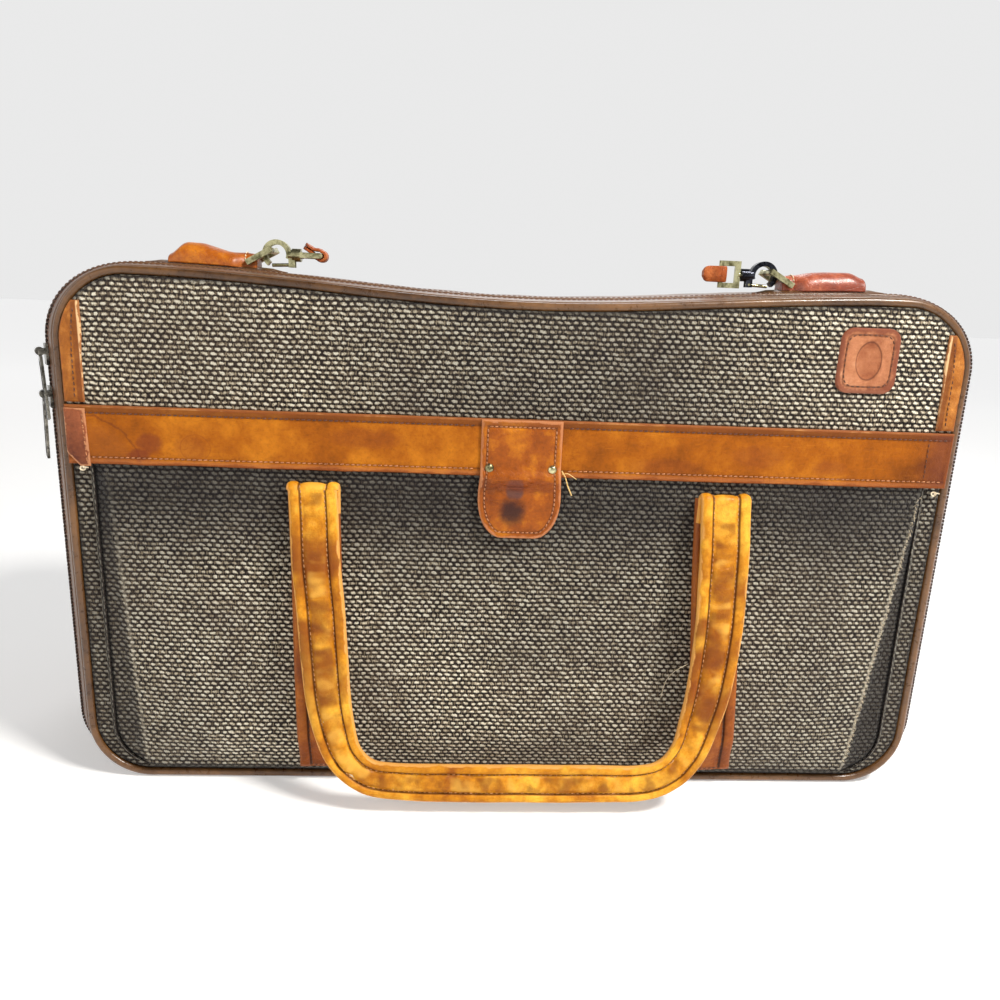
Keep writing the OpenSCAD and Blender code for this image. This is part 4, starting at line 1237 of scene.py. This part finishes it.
def tab():
    z = np.concatenate([TAB_LOW + 25.4 * (1 - np.cos(np.linspace(0, np.pi / 2, 18))) ,
                        np.linspace(204, TAB_TOP, 40)])
    half = tab_half(z)
    grid = fill(np.stack([-half, z], 1), np.stack([half, z], 1), 40, ease=False)

    def puff(x, z, d):
        fold = TAB_FOLD_OUT * hump(z, 216.5, 4.6) * (1 - 0.25 * (x / 25) ** 2)
        wrinkle = 0.5 * hump(z, 212, 6) * np.sin(z * 2.1 + 0.02 * x * x + 0.1 * x) * smooth(d, 2, 7)
        pocketed = -0.8 * hump(z, 207, 3.5) * smooth(d, 4, 9)
        snap = 0.55 * np.exp(-(((x / 9.5) ** 2 + ((z - 204) / 9.5) ** 2) ** 3))
        groove = -0.35 * np.exp(-((d - 4.0) / 0.7) ** 2)
        field = 0.35 * smooth(d, 4.4, 6.5) * smooth(z, 221, 226)
        return fold + wrinkle + pocketed + snap + groove + field + 0.1 * waves(x, z, 91, 14)

    ob = relief("tab_leather", grid, -1, TAB_Y, CLOTH, puff, edge_r=0.9)
    ob.data.materials.append(TAB)
    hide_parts("tab_top", "tab_flap")
    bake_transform(ob)
    e = 4.0
    zz = np.linspace(TAB_LOW + e, TAB_TOP - e, 160)
    hh = np.interp(zz, z, half)
    slope = np.gradient(hh, zz)
    xx = hh - e * np.sqrt(1 + slope ** 2)
    keep = xx > 9
    zz, xx = zz[keep], xx[keep]
    yy = TAB_Y - 0.1 - TAB_FOLD_OUT * hump(zz, 216.5, 4.6) * (1 - 0.25 * (xx / 25) ** 2)
    bottom_x = np.linspace(-xx[0], xx[0], 20)
    low = np.stack([bottom_x, np.full(20, TAB_Y - 0.05), np.full(20, zz[0])], 1)
    right = np.stack([xx, yy, zz], 1)
    left = np.stack([-xx, yy, zz], 1)
    top = np.stack([np.linspace(-20.5, 20.5, 20), np.full(20, TAB_Y - 0.05),
                    np.full(20, TAB_TOP - e)], 1)
    ring = np.concatenate([left[::-1], low[1:-1], right])
    st = stitches("tab_stitches", [(ring, OUT_FRONT), (top, OUT_FRONT)], None, TAN_THREAD,
                  pitch=2.9, length=2.0)
    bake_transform(st)
    # domed rivets with a washer edge
    prof = np.array([[0.0, 2.0], [1.0, 1.9], [2.0, 1.5], [2.7, 0.8], [2.9, 0.3], [3.1, 0.0],
                     [3.1, -0.5], [1.0, -0.7], [1.0, -1.9], [0.0, -1.9]])
    a = np.linspace(0, 2 * np.pi, 28, endpoint=False)
    parts = []
    for x in (-RIVET_X, RIVET_X):
        p = np.stack([x + prof[:, None, 0] * np.cos(a), TAB_Y - 0.25 - prof[:, None, 1] + 0 * a,
                      RIVET_Z + prof[:, None, 0] * np.sin(a)], -1)
        parts.append((p.reshape(-1, 3), quads(len(prof), len(a), False, True)))
    ob = mesh_object("tab_rivet_heads", *join(parts), sharp=50)
    bm = bmesh.new()
    bm.from_mesh(ob.data)
    bmesh.ops.remove_doubles(bm, verts=bm.verts, dist=1e-7)
    bm.to_mesh(ob.data)
    bm.free()
    place(ob, "lid", BRASS, ["tab_rivets"])


# ---- handles
GROOVE = 7.7
WELT_AT, WELT_HALF, WELT_HIGH = 12.1, 3.9, 3.1


def strap_profile(pad, flat=False):
    """Section of a padded strap, 32 wide, with a rolled welt outside each stitch row."""
    a1 = np.linspace(0, 6.9, 9)
    h1 = pad * np.sqrt(1 - (a1 / 7.6) ** 2.8)
    a2 = np.array([7.3, GROOVE, 8.1, 8.4])
    h2 = np.array([1.15, 0.85, 0.85, 1.0])
    t = np.radians(np.linspace(155, 0, 13))
    a3, h3 = WELT_AT + WELT_HALF * np.cos(t), WELT_HIGH * np.sin(t)
    right = np.stack([np.concatenate([a1, a2, a3]), np.concatenate([h1, h2, h3])], 1)
    left = right[::-1] * np.array([-1, 1])
    top = np.concatenate([left, right[1:]])
    under = top[::-1][1:-1] * np.array([1, 0.0 if flat else -1])
    return np.concatenate([top, under])


def through(points, step):
    """A smooth line through the points (Catmull-Rom), about that far apart."""
    p = np.asarray(points, float)
    p = np.concatenate([[2 * p[0] - p[1]], p, [2 * p[-1] - p[-2]]])
    out = []
    for i in range(1, len(p) - 2):
        n = max(2, int(np.linalg.norm(p[i + 1][:2] - p[i][:2]) / step))
        t = np.linspace(0, 1, n, endpoint=False)[:, None]
        a, b, c, d = p[i - 1], p[i], p[i + 1], p[i + 2]
        out.append(0.5 * (2 * b + (c - a) * t + (2 * a - 5 * b + 4 * c - d) * t ** 2
                          + (3 * b - a - 3 * c + d) * t ** 3))
    return np.concatenate(out + [p[-2][None]])


# the loop as it hangs: sideways place, distance down from the fold, half its width
LOOP_LEFT = [(-127, 5, 14.8), (-125, 40, 15.0), (-121, 90, 15.0), (-117, 132, 14.4),
             (-112.5, 157, 13.2), (-106, 174, 12.0), (-94, 186, 11.6), (-78, 190.8, 12.0),
             (-40, 191.8, 12.6), (0, 191.8, 12.6)]
LOOP_RIGHT = [(40, 191.6, 12.6), (84, 190.4, 12.0), (103.5, 184, 11.4), (115.5, 169, 12.0),
              (122, 149, 13.4), (126.5, 128, 14.6), (130, 96, 15.4), (131, 52, 15.9),
              (130, 5, 15.9)]
FOLD_R = 3.3
FOLD_TOP = 206.5


def loop_path():
    """The loop's centreline, over the left fold, round and back, with directions and widths."""
    y_fold = POCKET_Y - 8.0
    y_back = y_fold + 2 * FOLD_R - 0.6
    stub = []
    for z in np.linspace(FOLD_TOP - 16, FOLD_TOP - 1, 6):
        stub.append([0, y_back, z])
    for a in np.linspace(0.12, 0.93, 11):
        ang = a * (np.pi - TILT)
        stub.append([0, y_back - FOLD_R + FOLD_R * math.cos(ang), FOLD_TOP - 1 + FOLD_R
                     * math.sin(ang)])
    stub = np.array(stub)
    flat = through(LOOP_LEFT + LOOP_RIGHT, 2.4)
    down = np.array([0, -math.sin(TILT), -math.cos(TILT)])
    out = np.array([0, -math.cos(TILT), math.sin(TILT)])
    hang = np.array([0, y_fold, FOLD_Z]) + flat[:, 1:2] * down + flat[:, :1] * np.array([1, 0, 0])
    first = stub + np.array([flat[0, 0], 0, 0])
    last = stub[::-1] + np.array([flat[-1, 0], 0, 0])
    path = np.concatenate([first, hang, last])
    width = np.concatenate([np.full(len(stub), 16.0), flat[:, 2], np.full(len(stub), 16.0)])
    t = frames(path)
    across = np.cross(out, t)
    k = len(stub) + 1
    across[:k] = (1, 0, 0)
    across[-k:] = (-1, 0, 0)
    across = across - (across * t).sum(1)[:, None] * t
    across /= np.linalg.norm(across, axis=1)[:, None]
    return path, across, np.cross(t, across), width, len(stub)


def bend(path, s, x):
    """1 where the loop bends, at that sideways place, and 0 away from it."""
    wrong_side = path[:, 0] * x < 0
    return hump(s, s[np.argmin(np.abs(path[:, 0] - x) + 1000 * wrong_side)], 30)


def handle(front=True):
    where = "front" if front else "rear"
    path, across, normal, width, stub = loop_path()
    if not front:
        path = path + np.array([0, -(POCKET_Y + 100.0), 0])
    s = run_length(path)
    far = np.minimum(s, s[-1] - s)
    seed = 101 if front else 121
    r = np.random.default_rng(seed)
    gaps = np.cumsum(r.uniform(9, 17, 60))
    away = np.abs(s[:, None] - gaps[None])
    depth = r.uniform(0.5, 1.0, 60)[away.argmin(1)]
    pinch = 1 - 0.55 * np.exp(-(away.min(1) / 2.6) ** 2) * depth
    plump = 0.40 + 0.60 * smooth(far, 28, 80)
    lumps = 1 + (pinch - 1) * smooth(far, 26, 60) + 0.10 * waves(s, 0 * s, seed + 1, 50)
    corner = np.maximum(bend(path, s, -106), bend(path, s, 115))
    ring = strap_profile(3.7)
    n, m = len(path), len(ring)
    prof = np.broadcast_to(ring, (n, m, 2)).copy()
    inner_part = np.abs(prof[..., 0]) < 7.1
    welt = np.abs(prof[..., 0]) > 8.5
    side = np.sign(prof[..., 0])
    prof[..., 1] = np.where(inner_part, prof[..., 1] * (plump * lumps)[:, None], prof[..., 1])
    flatten = 0.72 + 0.28 * smooth(far, 18, 45)
    prof[..., 1] = np.where(inner_part, prof[..., 1], prof[..., 1] * flatten[:, None])
    crease = waves(s[:, None] + 0.3 * prof[..., 0], 0 * prof[..., 0], seed + 2, 10)
    prof[..., 1] += np.sign(prof[..., 1]) * np.where(inner_part, (0.34 + 0.7 * corner)[:, None]
                                                     * crease, 0)
    roll = waves(s[:, None] + 0 * side, 40 * side, seed + 5, 24)
    prof[..., 1] *= np.where(welt, 1 + 0.10 * roll, 1)
    prof[..., 1] = np.clip(prof[..., 1], -4.2, 4.2)
    lay = np.stack([np.broadcast_to(s[:, None], (n, m)), prof[..., 0], 16 - np.abs(prof[..., 0])],
                   -1)
    sway = 0.5 * waves(s, 0 * s, seed + 3, 45) * smooth(far, 20, 40)
    prof[..., 0] = prof[..., 0] * (width / 16)[:, None] + sway[:, None]
    pts = path[:, None] + prof[..., :1] * across[:, None] + prof[..., 1:] * normal[:, None]
    faces = quads(n, m, False, True).tolist() + end_caps(n, m)
    pts = pts.reshape(-1, 3)
    pts[:, 2] = np.maximum(pts[:, 2], 0.15)

    def turned(p):
        return p if front else p * np.array([-1, -1, 1])

    ob = mesh_object(f"{where}_handle_leather", turned(pts), faces, lay.reshape(-1, 3), sharp=75)
    ob.data.materials.append(HANDLE)
    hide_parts(f"{where}_handle")
    sign = 1 if front else -1
    back = (path[0, 1] - 0.2) * sign
    fold = (path[0, 1] - 5.6) * sign
    hinge = dict(start=(0, back * MM, 0.2), end=(0, fold * MM, 0.2))
    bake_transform(ob)
    parts = []
    for a in (-GROOVE, GROOVE):
        for out in (1, -1):
            line = path + across * (a * width / 16 + sway)[:, None] + normal * (out * 0.95
                                                                                * flatten)[:, None]
            keep = slice(3, -3) if out > 0 else slice(stub + 4, -stub - 4)
            line, nrm = turned(line)[keep], turned(normal * out)[keep]
            c, tt = resample(line, STITCH_PITCH)
            parts.append(beads(c, tt, nrm[nearest(line, c)], 2.0, 0.7, 0.9, 0.1))
    st = mesh_object(f"{where}_handle_stitches", *join(parts), sharp=180, fix=False)
    st.data.materials.append(HANDLE_THREAD)
    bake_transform(st)
    # flat foam core inside, from the fold down
    keep = slice(stub + 2, -stub - 2)
    core_ring = np.array([[6.0, 0.0], [5.2, 0.8], [0, 1.0], [-5.2, 0.8], [-6.0, 0.0], [-5.2, -0.8],
                          [0, -1.0], [5.2, -0.8]])
    p2, f2 = sweep(path[keep], across[keep], normal[keep], core_ring)
    core = mesh_object(f"{where}_handle_foam", turned(p2), f2)
    place(core, f"{where}_loop", CORE, [f"{where}_handle_core"])


def apply_modifiers(ob):
    dg = bpy.context.evaluated_depsgraph_get()
    me = bpy.data.meshes.new_from_object(ob.evaluated_get(dg), preserve_all_data_layers=True,
                                         depsgraph=dg)
    old = ob.data
    ob.modifiers.clear()
    ob.data = me
    bpy.data.meshes.remove(old)


def sewn_straps(front=True):
    where = "front" if front else "rear"
    face = POCKET_Y if front else -100.0
    z = np.concatenate([np.linspace(11.8, 16, 6), np.arange(20, 200, 4.0),
                        np.linspace(202, 207, 4)])
    parts, lays, lines = [], [], []
    ring = strap_profile(1.9, flat=True)
    for side in (-1, 1):
        splay = (FRONT_SPLAY_LEFT if side < 0 else FRONT_SPLAY_RIGHT) if front else SPLAY
        x = side * (STRAP_X + splay * (213 - z) / 201)
        lift = bag_swell(x, z) if front else 0 * z
        path = np.stack([x, face - lift, z], 1)
        t = frames(path)
        across = np.cross(np.array([0, 1.0, 0]), t)
        normal = np.broadcast_to(np.array([0, -1.0, 0]), t.shape)
        n, m = len(path), len(ring)
        prof = np.broadcast_to(ring, (n, m, 2)).copy()
        end = np.minimum(z - z[0], z[-1] - z)
        prof[..., 1] *= (0.35 + 0.65 * smooth(end, 0, 3.0))[:, None]
        prof[..., 1] = np.minimum(prof[..., 1], 2.95)
        pts = path[:, None] + prof[..., :1] * across[:, None] + prof[..., 1:] * normal[:, None]
        faces = quads(n, m, False, True).tolist() + end_caps(n, m)
        parts.append((pts.reshape(-1, 3), faces))
        d = np.minimum(16 - np.abs(prof[..., 0]), end[:, None])
        lays.append(np.stack([np.broadcast_to(z[:, None], (n, m)), prof[..., 0], d],
                             -1).reshape(-1, 3))
        for a in (-GROOVE, GROOVE):
            line = path + across * a + np.array([0, -0.95, 0])
            lines.append(line[2:-1])
        foot = path[2] + np.array([0, -1.6, 0]) + across[2] * np.linspace(-7.6, 7.6, 8)[:, None]
        lines.append(foot)
    if not front:
        parts = [(p * np.array([-1, -1, 1]), f) for p, f in parts]
        lines = [p * np.array([-1, -1, 1]) for p in lines]
    pts, faces = join(parts)
    ob = mesh_object(f"{where}_strap_leather", pts, faces, np.concatenate(lays), sharp=60)
    place(ob, "lid" if front else "shell", SEWN, [f"{where}_handle_straps"])
    n = OUT_FRONT if front else OUT_BACK
    stitches(f"{where}_strap_stitches", [(p, n) for p in lines], "lid" if front else "shell",
             DARK_THREAD)


# ---- top fittings
def hood(side):
    """Leather tube sewn down over the ring's bar, on a tan strip."""
    nm = "left" if side < 0 else "right"
    x = np.concatenate([np.linspace(167.5, 176, 8), np.linspace(179, 217, 18),
                        np.linspace(218.5, 221, 4)])
    if side < 0:
        high = 9.2 + 3.8 * smooth(x, 184, 204) - 7.5 * smooth(x, 211, 221)
    else:
        high = 10.2 + 2.0 * smooth(x, 176, 190) - 3.5 * smooth(x, 212, 221)
    high = high * np.where(x < 169, 0.92, 1.0)
    wide = 13.5 - 5.5 * (1 - smooth(x, 174, 182)) - smooth(x, 212, 221)
    ang = np.linspace(0, 2 * np.pi, 26, endpoint=False)
    rows = []
    for k, xx in enumerate(x):
        base = top_z(xx, FIT_Y) + 0.7
        c, s = np.cos(ang), np.sin(ang)
        yy = FIT_Y + wide[k] * np.sign(c) * np.abs(c) ** 0.85
        zz = base + high[k] * (np.where(s > 0, np.abs(s) ** 0.8, 0.02 * s))
        rows.append(np.stack([np.full(len(ang), side * xx), yy, zz], 1))
    rows = np.array(rows)
    s_along = np.abs(rows[..., 0])
    r = 0.35 * waves(s_along, rows[..., 1], 131 if side < 0 else 133, 11)
    rows[..., 2] += r * (rows[..., 2] > rows[..., 2].min(1, keepdims=True) + 2)
    n, m = rows.shape[:2]
    faces = quads(n, m, False, True).tolist() + end_caps(n, m)
    ob = mesh_object(f"hood_{nm}_leather", rows.reshape(-1, 3), faces, np.zeros((n * m, 3)),
                     sharp=70)
    ob.data.materials.append(HOOD_L if side < 0 else HOOD_R)
    sub = ob.modifiers.new("soft", "SUBSURF")
    sub.levels = sub.render_levels = 1
    apply_modifiers(ob)
    place(ob, "shell", None, [f"hood_{nm}"])
    # stitch row at the end near the ring
    lines = []
    k = 6
    arc = rows[k][1:13]
    lines.append((arc + np.array([0, 0, 0.25]), (0, 0, 1)))
    stitches(f"hood_{nm}_stitches", lines, "shell", PALE_THREAD, pitch=2.6, length=1.9)
    # the base patch it is sewn to, tapering along the case
    xs = np.linspace(150, 238, 60)
    half = 0.8 + 9.5 * smooth(xs, 148, 172) * (1 - smooth(xs, 214, 240))
    tz = np.array([top_z(v, FIT_Y) for v in xs]) + 0.1
    q = np.linspace(-1, 1, 11)
    rise = (1.6 * (1 - np.abs(q) ** 2.4))[:, None] * np.minimum(1, half / 5)[None]
    y = FIT_Y - 1.5 + q[:, None] * half[None]
    outer = np.stack([np.broadcast_to(side * xs, y.shape), y, tz[None] + 0.35 + rise], -1)
    inner = outer.copy()
    inner[..., 2] = tz[None] - 0.3
    pts, faces = slab(outer, inner)
    strip = mesh_object(f"hood_{nm}_strip", pts, faces, np.full((len(pts), 3), 3.0))
    place(strip, "shell", PIPING)


def loose_threads():
    """Knots at the band's ends, an end by the tab, a hair on the handle, the pocket's fray."""
    r = np.random.default_rng(151)
    pale, gold = [], []
    for cx, cz in ((-265.5, 214.6), (266.5, 213.8)):
        a = np.linspace(0, 2 * np.pi, 12)
        loop = np.stack([cx + 1.5 * np.cos(a), -107.0 - 0.5 * np.sin(2 * a), cz + 1.2 * np.sin(a)],
                        1)
        pale.append(tube(loop, 0.55, 7))
        tail = through([(cx, -107.2, cz), (cx + 1.6, -107.8, cz + 0.8),
                        (cx + 3.6, -107.4, cz + 0.4)], 0.5)
        pale.append(tube(tail, 0.35, 6))
    gold.append(tube(through([(25.5, -109.0, 222), (28, -109.6, 218), (29.6, -109.4, 213),
                              (32.6, -109.0, 206.5)], 1.0), 0.42, 7))
    gold.append(tube(through([(26.0, -109.2, 220), (29.5, -109.9, 220.5), (35, -109.0, 217)], 1.0),
                     0.25, 6))
    hair = through([(113, -124.8, 101), (104, -126.0, 96), (99, -125.2, 88), (97.5, -123.8, 76)],
                   1.5)
    pale.append(tube(hair, 0.16, 5))
    for z in np.concatenate([np.arange(20, 212, 1.5), np.arange(20, 212, 2.6)]):
        x = crease_x(1, z) + r.normal(0, 0.5)
        y = POCKET_Y - 0.1 - float(bag_swell(np.array(x), np.array(z)))
        turn, size = r.uniform(-1.3, 1.3), r.uniform(1.2, 3.0)
        end = (x + size * math.cos(turn) * 0.5, y - r.uniform(0.3, 1.0), z + size * math.sin(turn))
        pale.append(tube(np.array([(x, y + 0.3, z), ((x + end[0]) / 2, y - 0.5, (z + end[2]) / 2),
                                   end]), 0.13, 4))
    for name, parts, look in (("pale_thread_ends", pale, PALE_THREAD),
                              ("gold_thread_ends", gold, GOLD_THREAD)):
        ob = mesh_object(name, *join(parts), sharp=180, fix=False)
        place(ob, "lid", look)


def to_fitting(side, u, w, v):
    """From a fitting's own u, width and v to X, Y and Z."""
    ring_z = top_z(RING_X, FIT_Y) + 5.0
    return np.stack([side * (RING_X - u), FIT_Y - side * w, ring_z + v], -1)


def strap_tail(side):
    """Leather tongue doubled round the swivel eye's bar."""
    nm = "left" if side < 0 else "right"
    turn, fold = (0.0, math.radians(150)) if side < 0 else (math.pi / 2, 0.0)
    bar_u, axis_v = 43.4, 5.0
    loop_r, reach, half_w = 2.75, 12.0, 5.0
    t = []
    for a in np.linspace(0, 1, 9):
        t.append([reach - (reach - 2.2) * a, 1.15 + (loop_r - 1.15) * smooth(a, 0.6, 1.0)])
    for a in np.radians(np.linspace(70, 290, 15)):
        t.append([loop_r * math.cos(a) * 1.02, loop_r * math.sin(a)])
    for a in np.linspace(0, 1, 9):
        t.append([2.2 + (reach - 2.2) * a, -1.15 - (loop_r - 1.15) * smooth(1 - a, 0.6, 1.0)])
    line = np.array(t)
    width = np.full(len(line), half_w)
    tip = np.clip((line[:, 0] - (reach - 4)) / 4, 0, 1)
    width = half_w * np.sqrt(np.maximum(0.12, 1 - tip ** 2.2))
    upper = [[1, 0.6], [0.8, 1.0], [0, 1.1], [-0.8, 1.0], [-1, 0.6]]
    ring = np.array(upper + [[-a, -h] for a, h in upper])
    d = np.gradient(line, axis=0)
    d /= np.linalg.norm(d, axis=1)[:, None]
    nrm = np.stack([-d[:, 1], d[:, 0]], 1)
    pts = []
    for k in range(len(line)):
        for a, h in ring:
            uv = line[k] + nrm[k] * h
            pts.append([uv[0], a * width[k], uv[1]])
    pts = np.array(pts)
    c, s = math.cos(fold), math.sin(fold)
    u, v = pts[:, 0] * c - pts[:, 2] * s, pts[:, 0] * s + pts[:, 2] * c
    w = pts[:, 1]
    u = u + bar_u
    if turn:
        w, v = -v, w
    faces = quads(len(line), len(ring), False, True).tolist()
    faces += end_caps(len(line), len(ring))
    world = to_fitting(side, u, w, v + axis_v)
    ob = mesh_object(f"strap_tail_{nm}", world, faces, np.zeros((len(world), 3)), sharp=50)
    place(ob, f"{nm}_strap_end", TAIL, [f"strap_end_{nm}"])


def metal_nodes():
    looks = {"ring": BRASS, "hook": DARK_METAL, "gate": BRASS, "eye": BRASS}
    for part, look in looks.items():
        for nm in ("left", "right"):
            dress(f"{part}_{nm}", BRASS if (part == "hook" and nm == "left") else look, 0.35)
    for nm in ("high", "low"):
        dress(f"slider_{nm}", PULL_METAL, 0.3)
        dress(f"pull_{nm}", PULL_METAL, 0.3)
    for nm in ("snap_stud", "snap_socket"):
        dress(nm, BRASS, 0.3)
    for nm in ("front_frame_wire", "rear_frame_wire"):
        dress(nm, WIRE, 0.0)
    for nm in ("front_board", "back_board", "base_board"):
        dress(nm, BOARD, 0.3)


def dress(node, look, bevel):
    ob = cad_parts[node]
    ob.data.materials.clear()
    ob.data.materials.append(look)
    if bevel:
        b = ob.modifiers.new("soft_edge", "BEVEL")
        b.width, b.segments = bevel * MM, 2
        b.limit_method, b.angle_limit = "ANGLE", math.radians(35)
        b.harden_normals = False


# ---- stage
# where the camera stands in metres, how it is turned in radians, and its lens in millimetres
CAMERA_AT = (-0.0395, -0.5922, 0.3252)
CAMERA_TURN = (-0.0567, 0.2485, 0.0421)
CAMERA_LENS, CAMERA_SENSOR = 28.8, 36.0

# the sky's strength overhead and at the horizon, and the heights it changes between
SKY = (0.28, 0.84, 0.82, 0.10)
FLOOR_GREY, FLOOR_GLOW_NEAR, FLOOR_GLOW_FAR = 0.78, 0.32, 0.58

# lights: place, target, size in metres, power in watts, colour
LIGHTS = {
    "key": ((0.80, -0.72, 1.45), (0.0, -0.1, 0.16), 0.34, 34.0, (1.0, 0.97, 0.92)),
    "fill": ((-1.3, -1.1, 0.9), (0.0, -0.1, 0.2), 1.2, 5.0, (1.0, 0.93, 0.84)),
    "back": ((0.2, 1.4, 1.5), (0.0, 0.0, 0.2), 1.0, 10.0, (1.0, 1.0, 1.0)),
}


def stage():
    scene = bpy.context.scene
    scene.view_settings.view_transform = "Standard"
    world = bpy.data.worlds.new("studio")
    scene.world = world
    world.use_nodes = True
    tree = world.node_tree
    bg = tree.nodes["Background"]
    way = tree.nodes.new("ShaderNodeTexCoord")
    parts = tree.nodes.new("ShaderNodeSeparateXYZ")
    fade = tree.nodes.new("ShaderNodeMapRange")
    fade.interpolation_type = "SMOOTHSTEP"
    tree.links.new(way.outputs["Generated"], parts.inputs[0])
    tree.links.new(parts.outputs[2], fade.inputs[0])
    for k, v in enumerate(SKY):
        fade.inputs[k + 1].default_value = v
    tree.links.new(fade.outputs[0], bg.inputs[1])
    bg.inputs[0].default_value = (1.0, 1.0, 1.0, 1.0)
    me = bpy.data.meshes.new("studio_floor")
    s = 12.0
    me.from_pydata([(-s, -s, 0), (s, -s, 0), (s, s, 0), (-s, s, 0)], [], [(0, 1, 2, 3)])
    floor = bpy.data.objects.new("studio_floor", me)
    scene.collection.objects.link(floor)
    floor.location.z = -0.0006
    m = Look("pale_floor")
    x, y, _ = m.split(m.where())
    far = m.math("SQRT", x * x + y * y)
    m.feed(m.bsdf.inputs["Emission Strength"],
           m.fit(far, 0.6, 3.0, FLOOR_GLOW_NEAR, FLOOR_GLOW_FAR))
    me.materials.append(m.finish((FLOOR_GREY, FLOOR_GREY, FLOOR_GREY, 1.0), 0.9,
                                 Emission_Color=(1, 1, 1, 1)))

    for name, (place_at, target, size, power, colour) in LIGHTS.items():
        d = bpy.data.lights.new(name, "AREA")
        d.shape, d.size, d.energy, d.color = "DISK", size, power, colour
        ob = bpy.data.objects.new(name, d)
        scene.collection.objects.link(ob)
        ob.location = place_at
        ob.rotation_euler = (Vector(target) - Vector(place_at)).to_track_quat("-Z", "Y").to_euler()


def camera():
    yaw, pitch, roll = CAMERA_TURN
    fwd = Vector((-math.sin(yaw) * math.cos(pitch), math.cos(yaw) * math.cos(pitch),
                  -math.sin(pitch)))
    right = Vector((math.cos(yaw), math.sin(yaw), 0))
    up = right.cross(fwd)
    x = right * math.cos(roll) + up * math.sin(roll)
    y = up * math.cos(roll) - right * math.sin(roll)
    d = bpy.data.cameras.new("camera")
    d.lens, d.sensor_width = CAMERA_LENS, CAMERA_SENSOR
    d.clip_start, d.clip_end = 0.01, 50.0
    ob = bpy.data.objects.new("camera", d)
    bpy.context.scene.collection.objects.link(ob)
    rot = Matrix((x, y, -fwd)).transposed().to_4x4()
    ob.matrix_world = Matrix.Translation(CAMERA_AT) @ rot
    bpy.context.scene.camera = ob


camera()
stage()
shell_and_lid()
front_backing()
upper_cloth()
pocket_cloth()
back_cloth()
inside()
band()
side_trims()
badge()
tab()
for is_front in (True, False):
    sewn_straps(is_front)
    handle(is_front)
for side in (-1, 1):
    hood(side)
    strap_tail(side)
metal_nodes()
loose_threads()
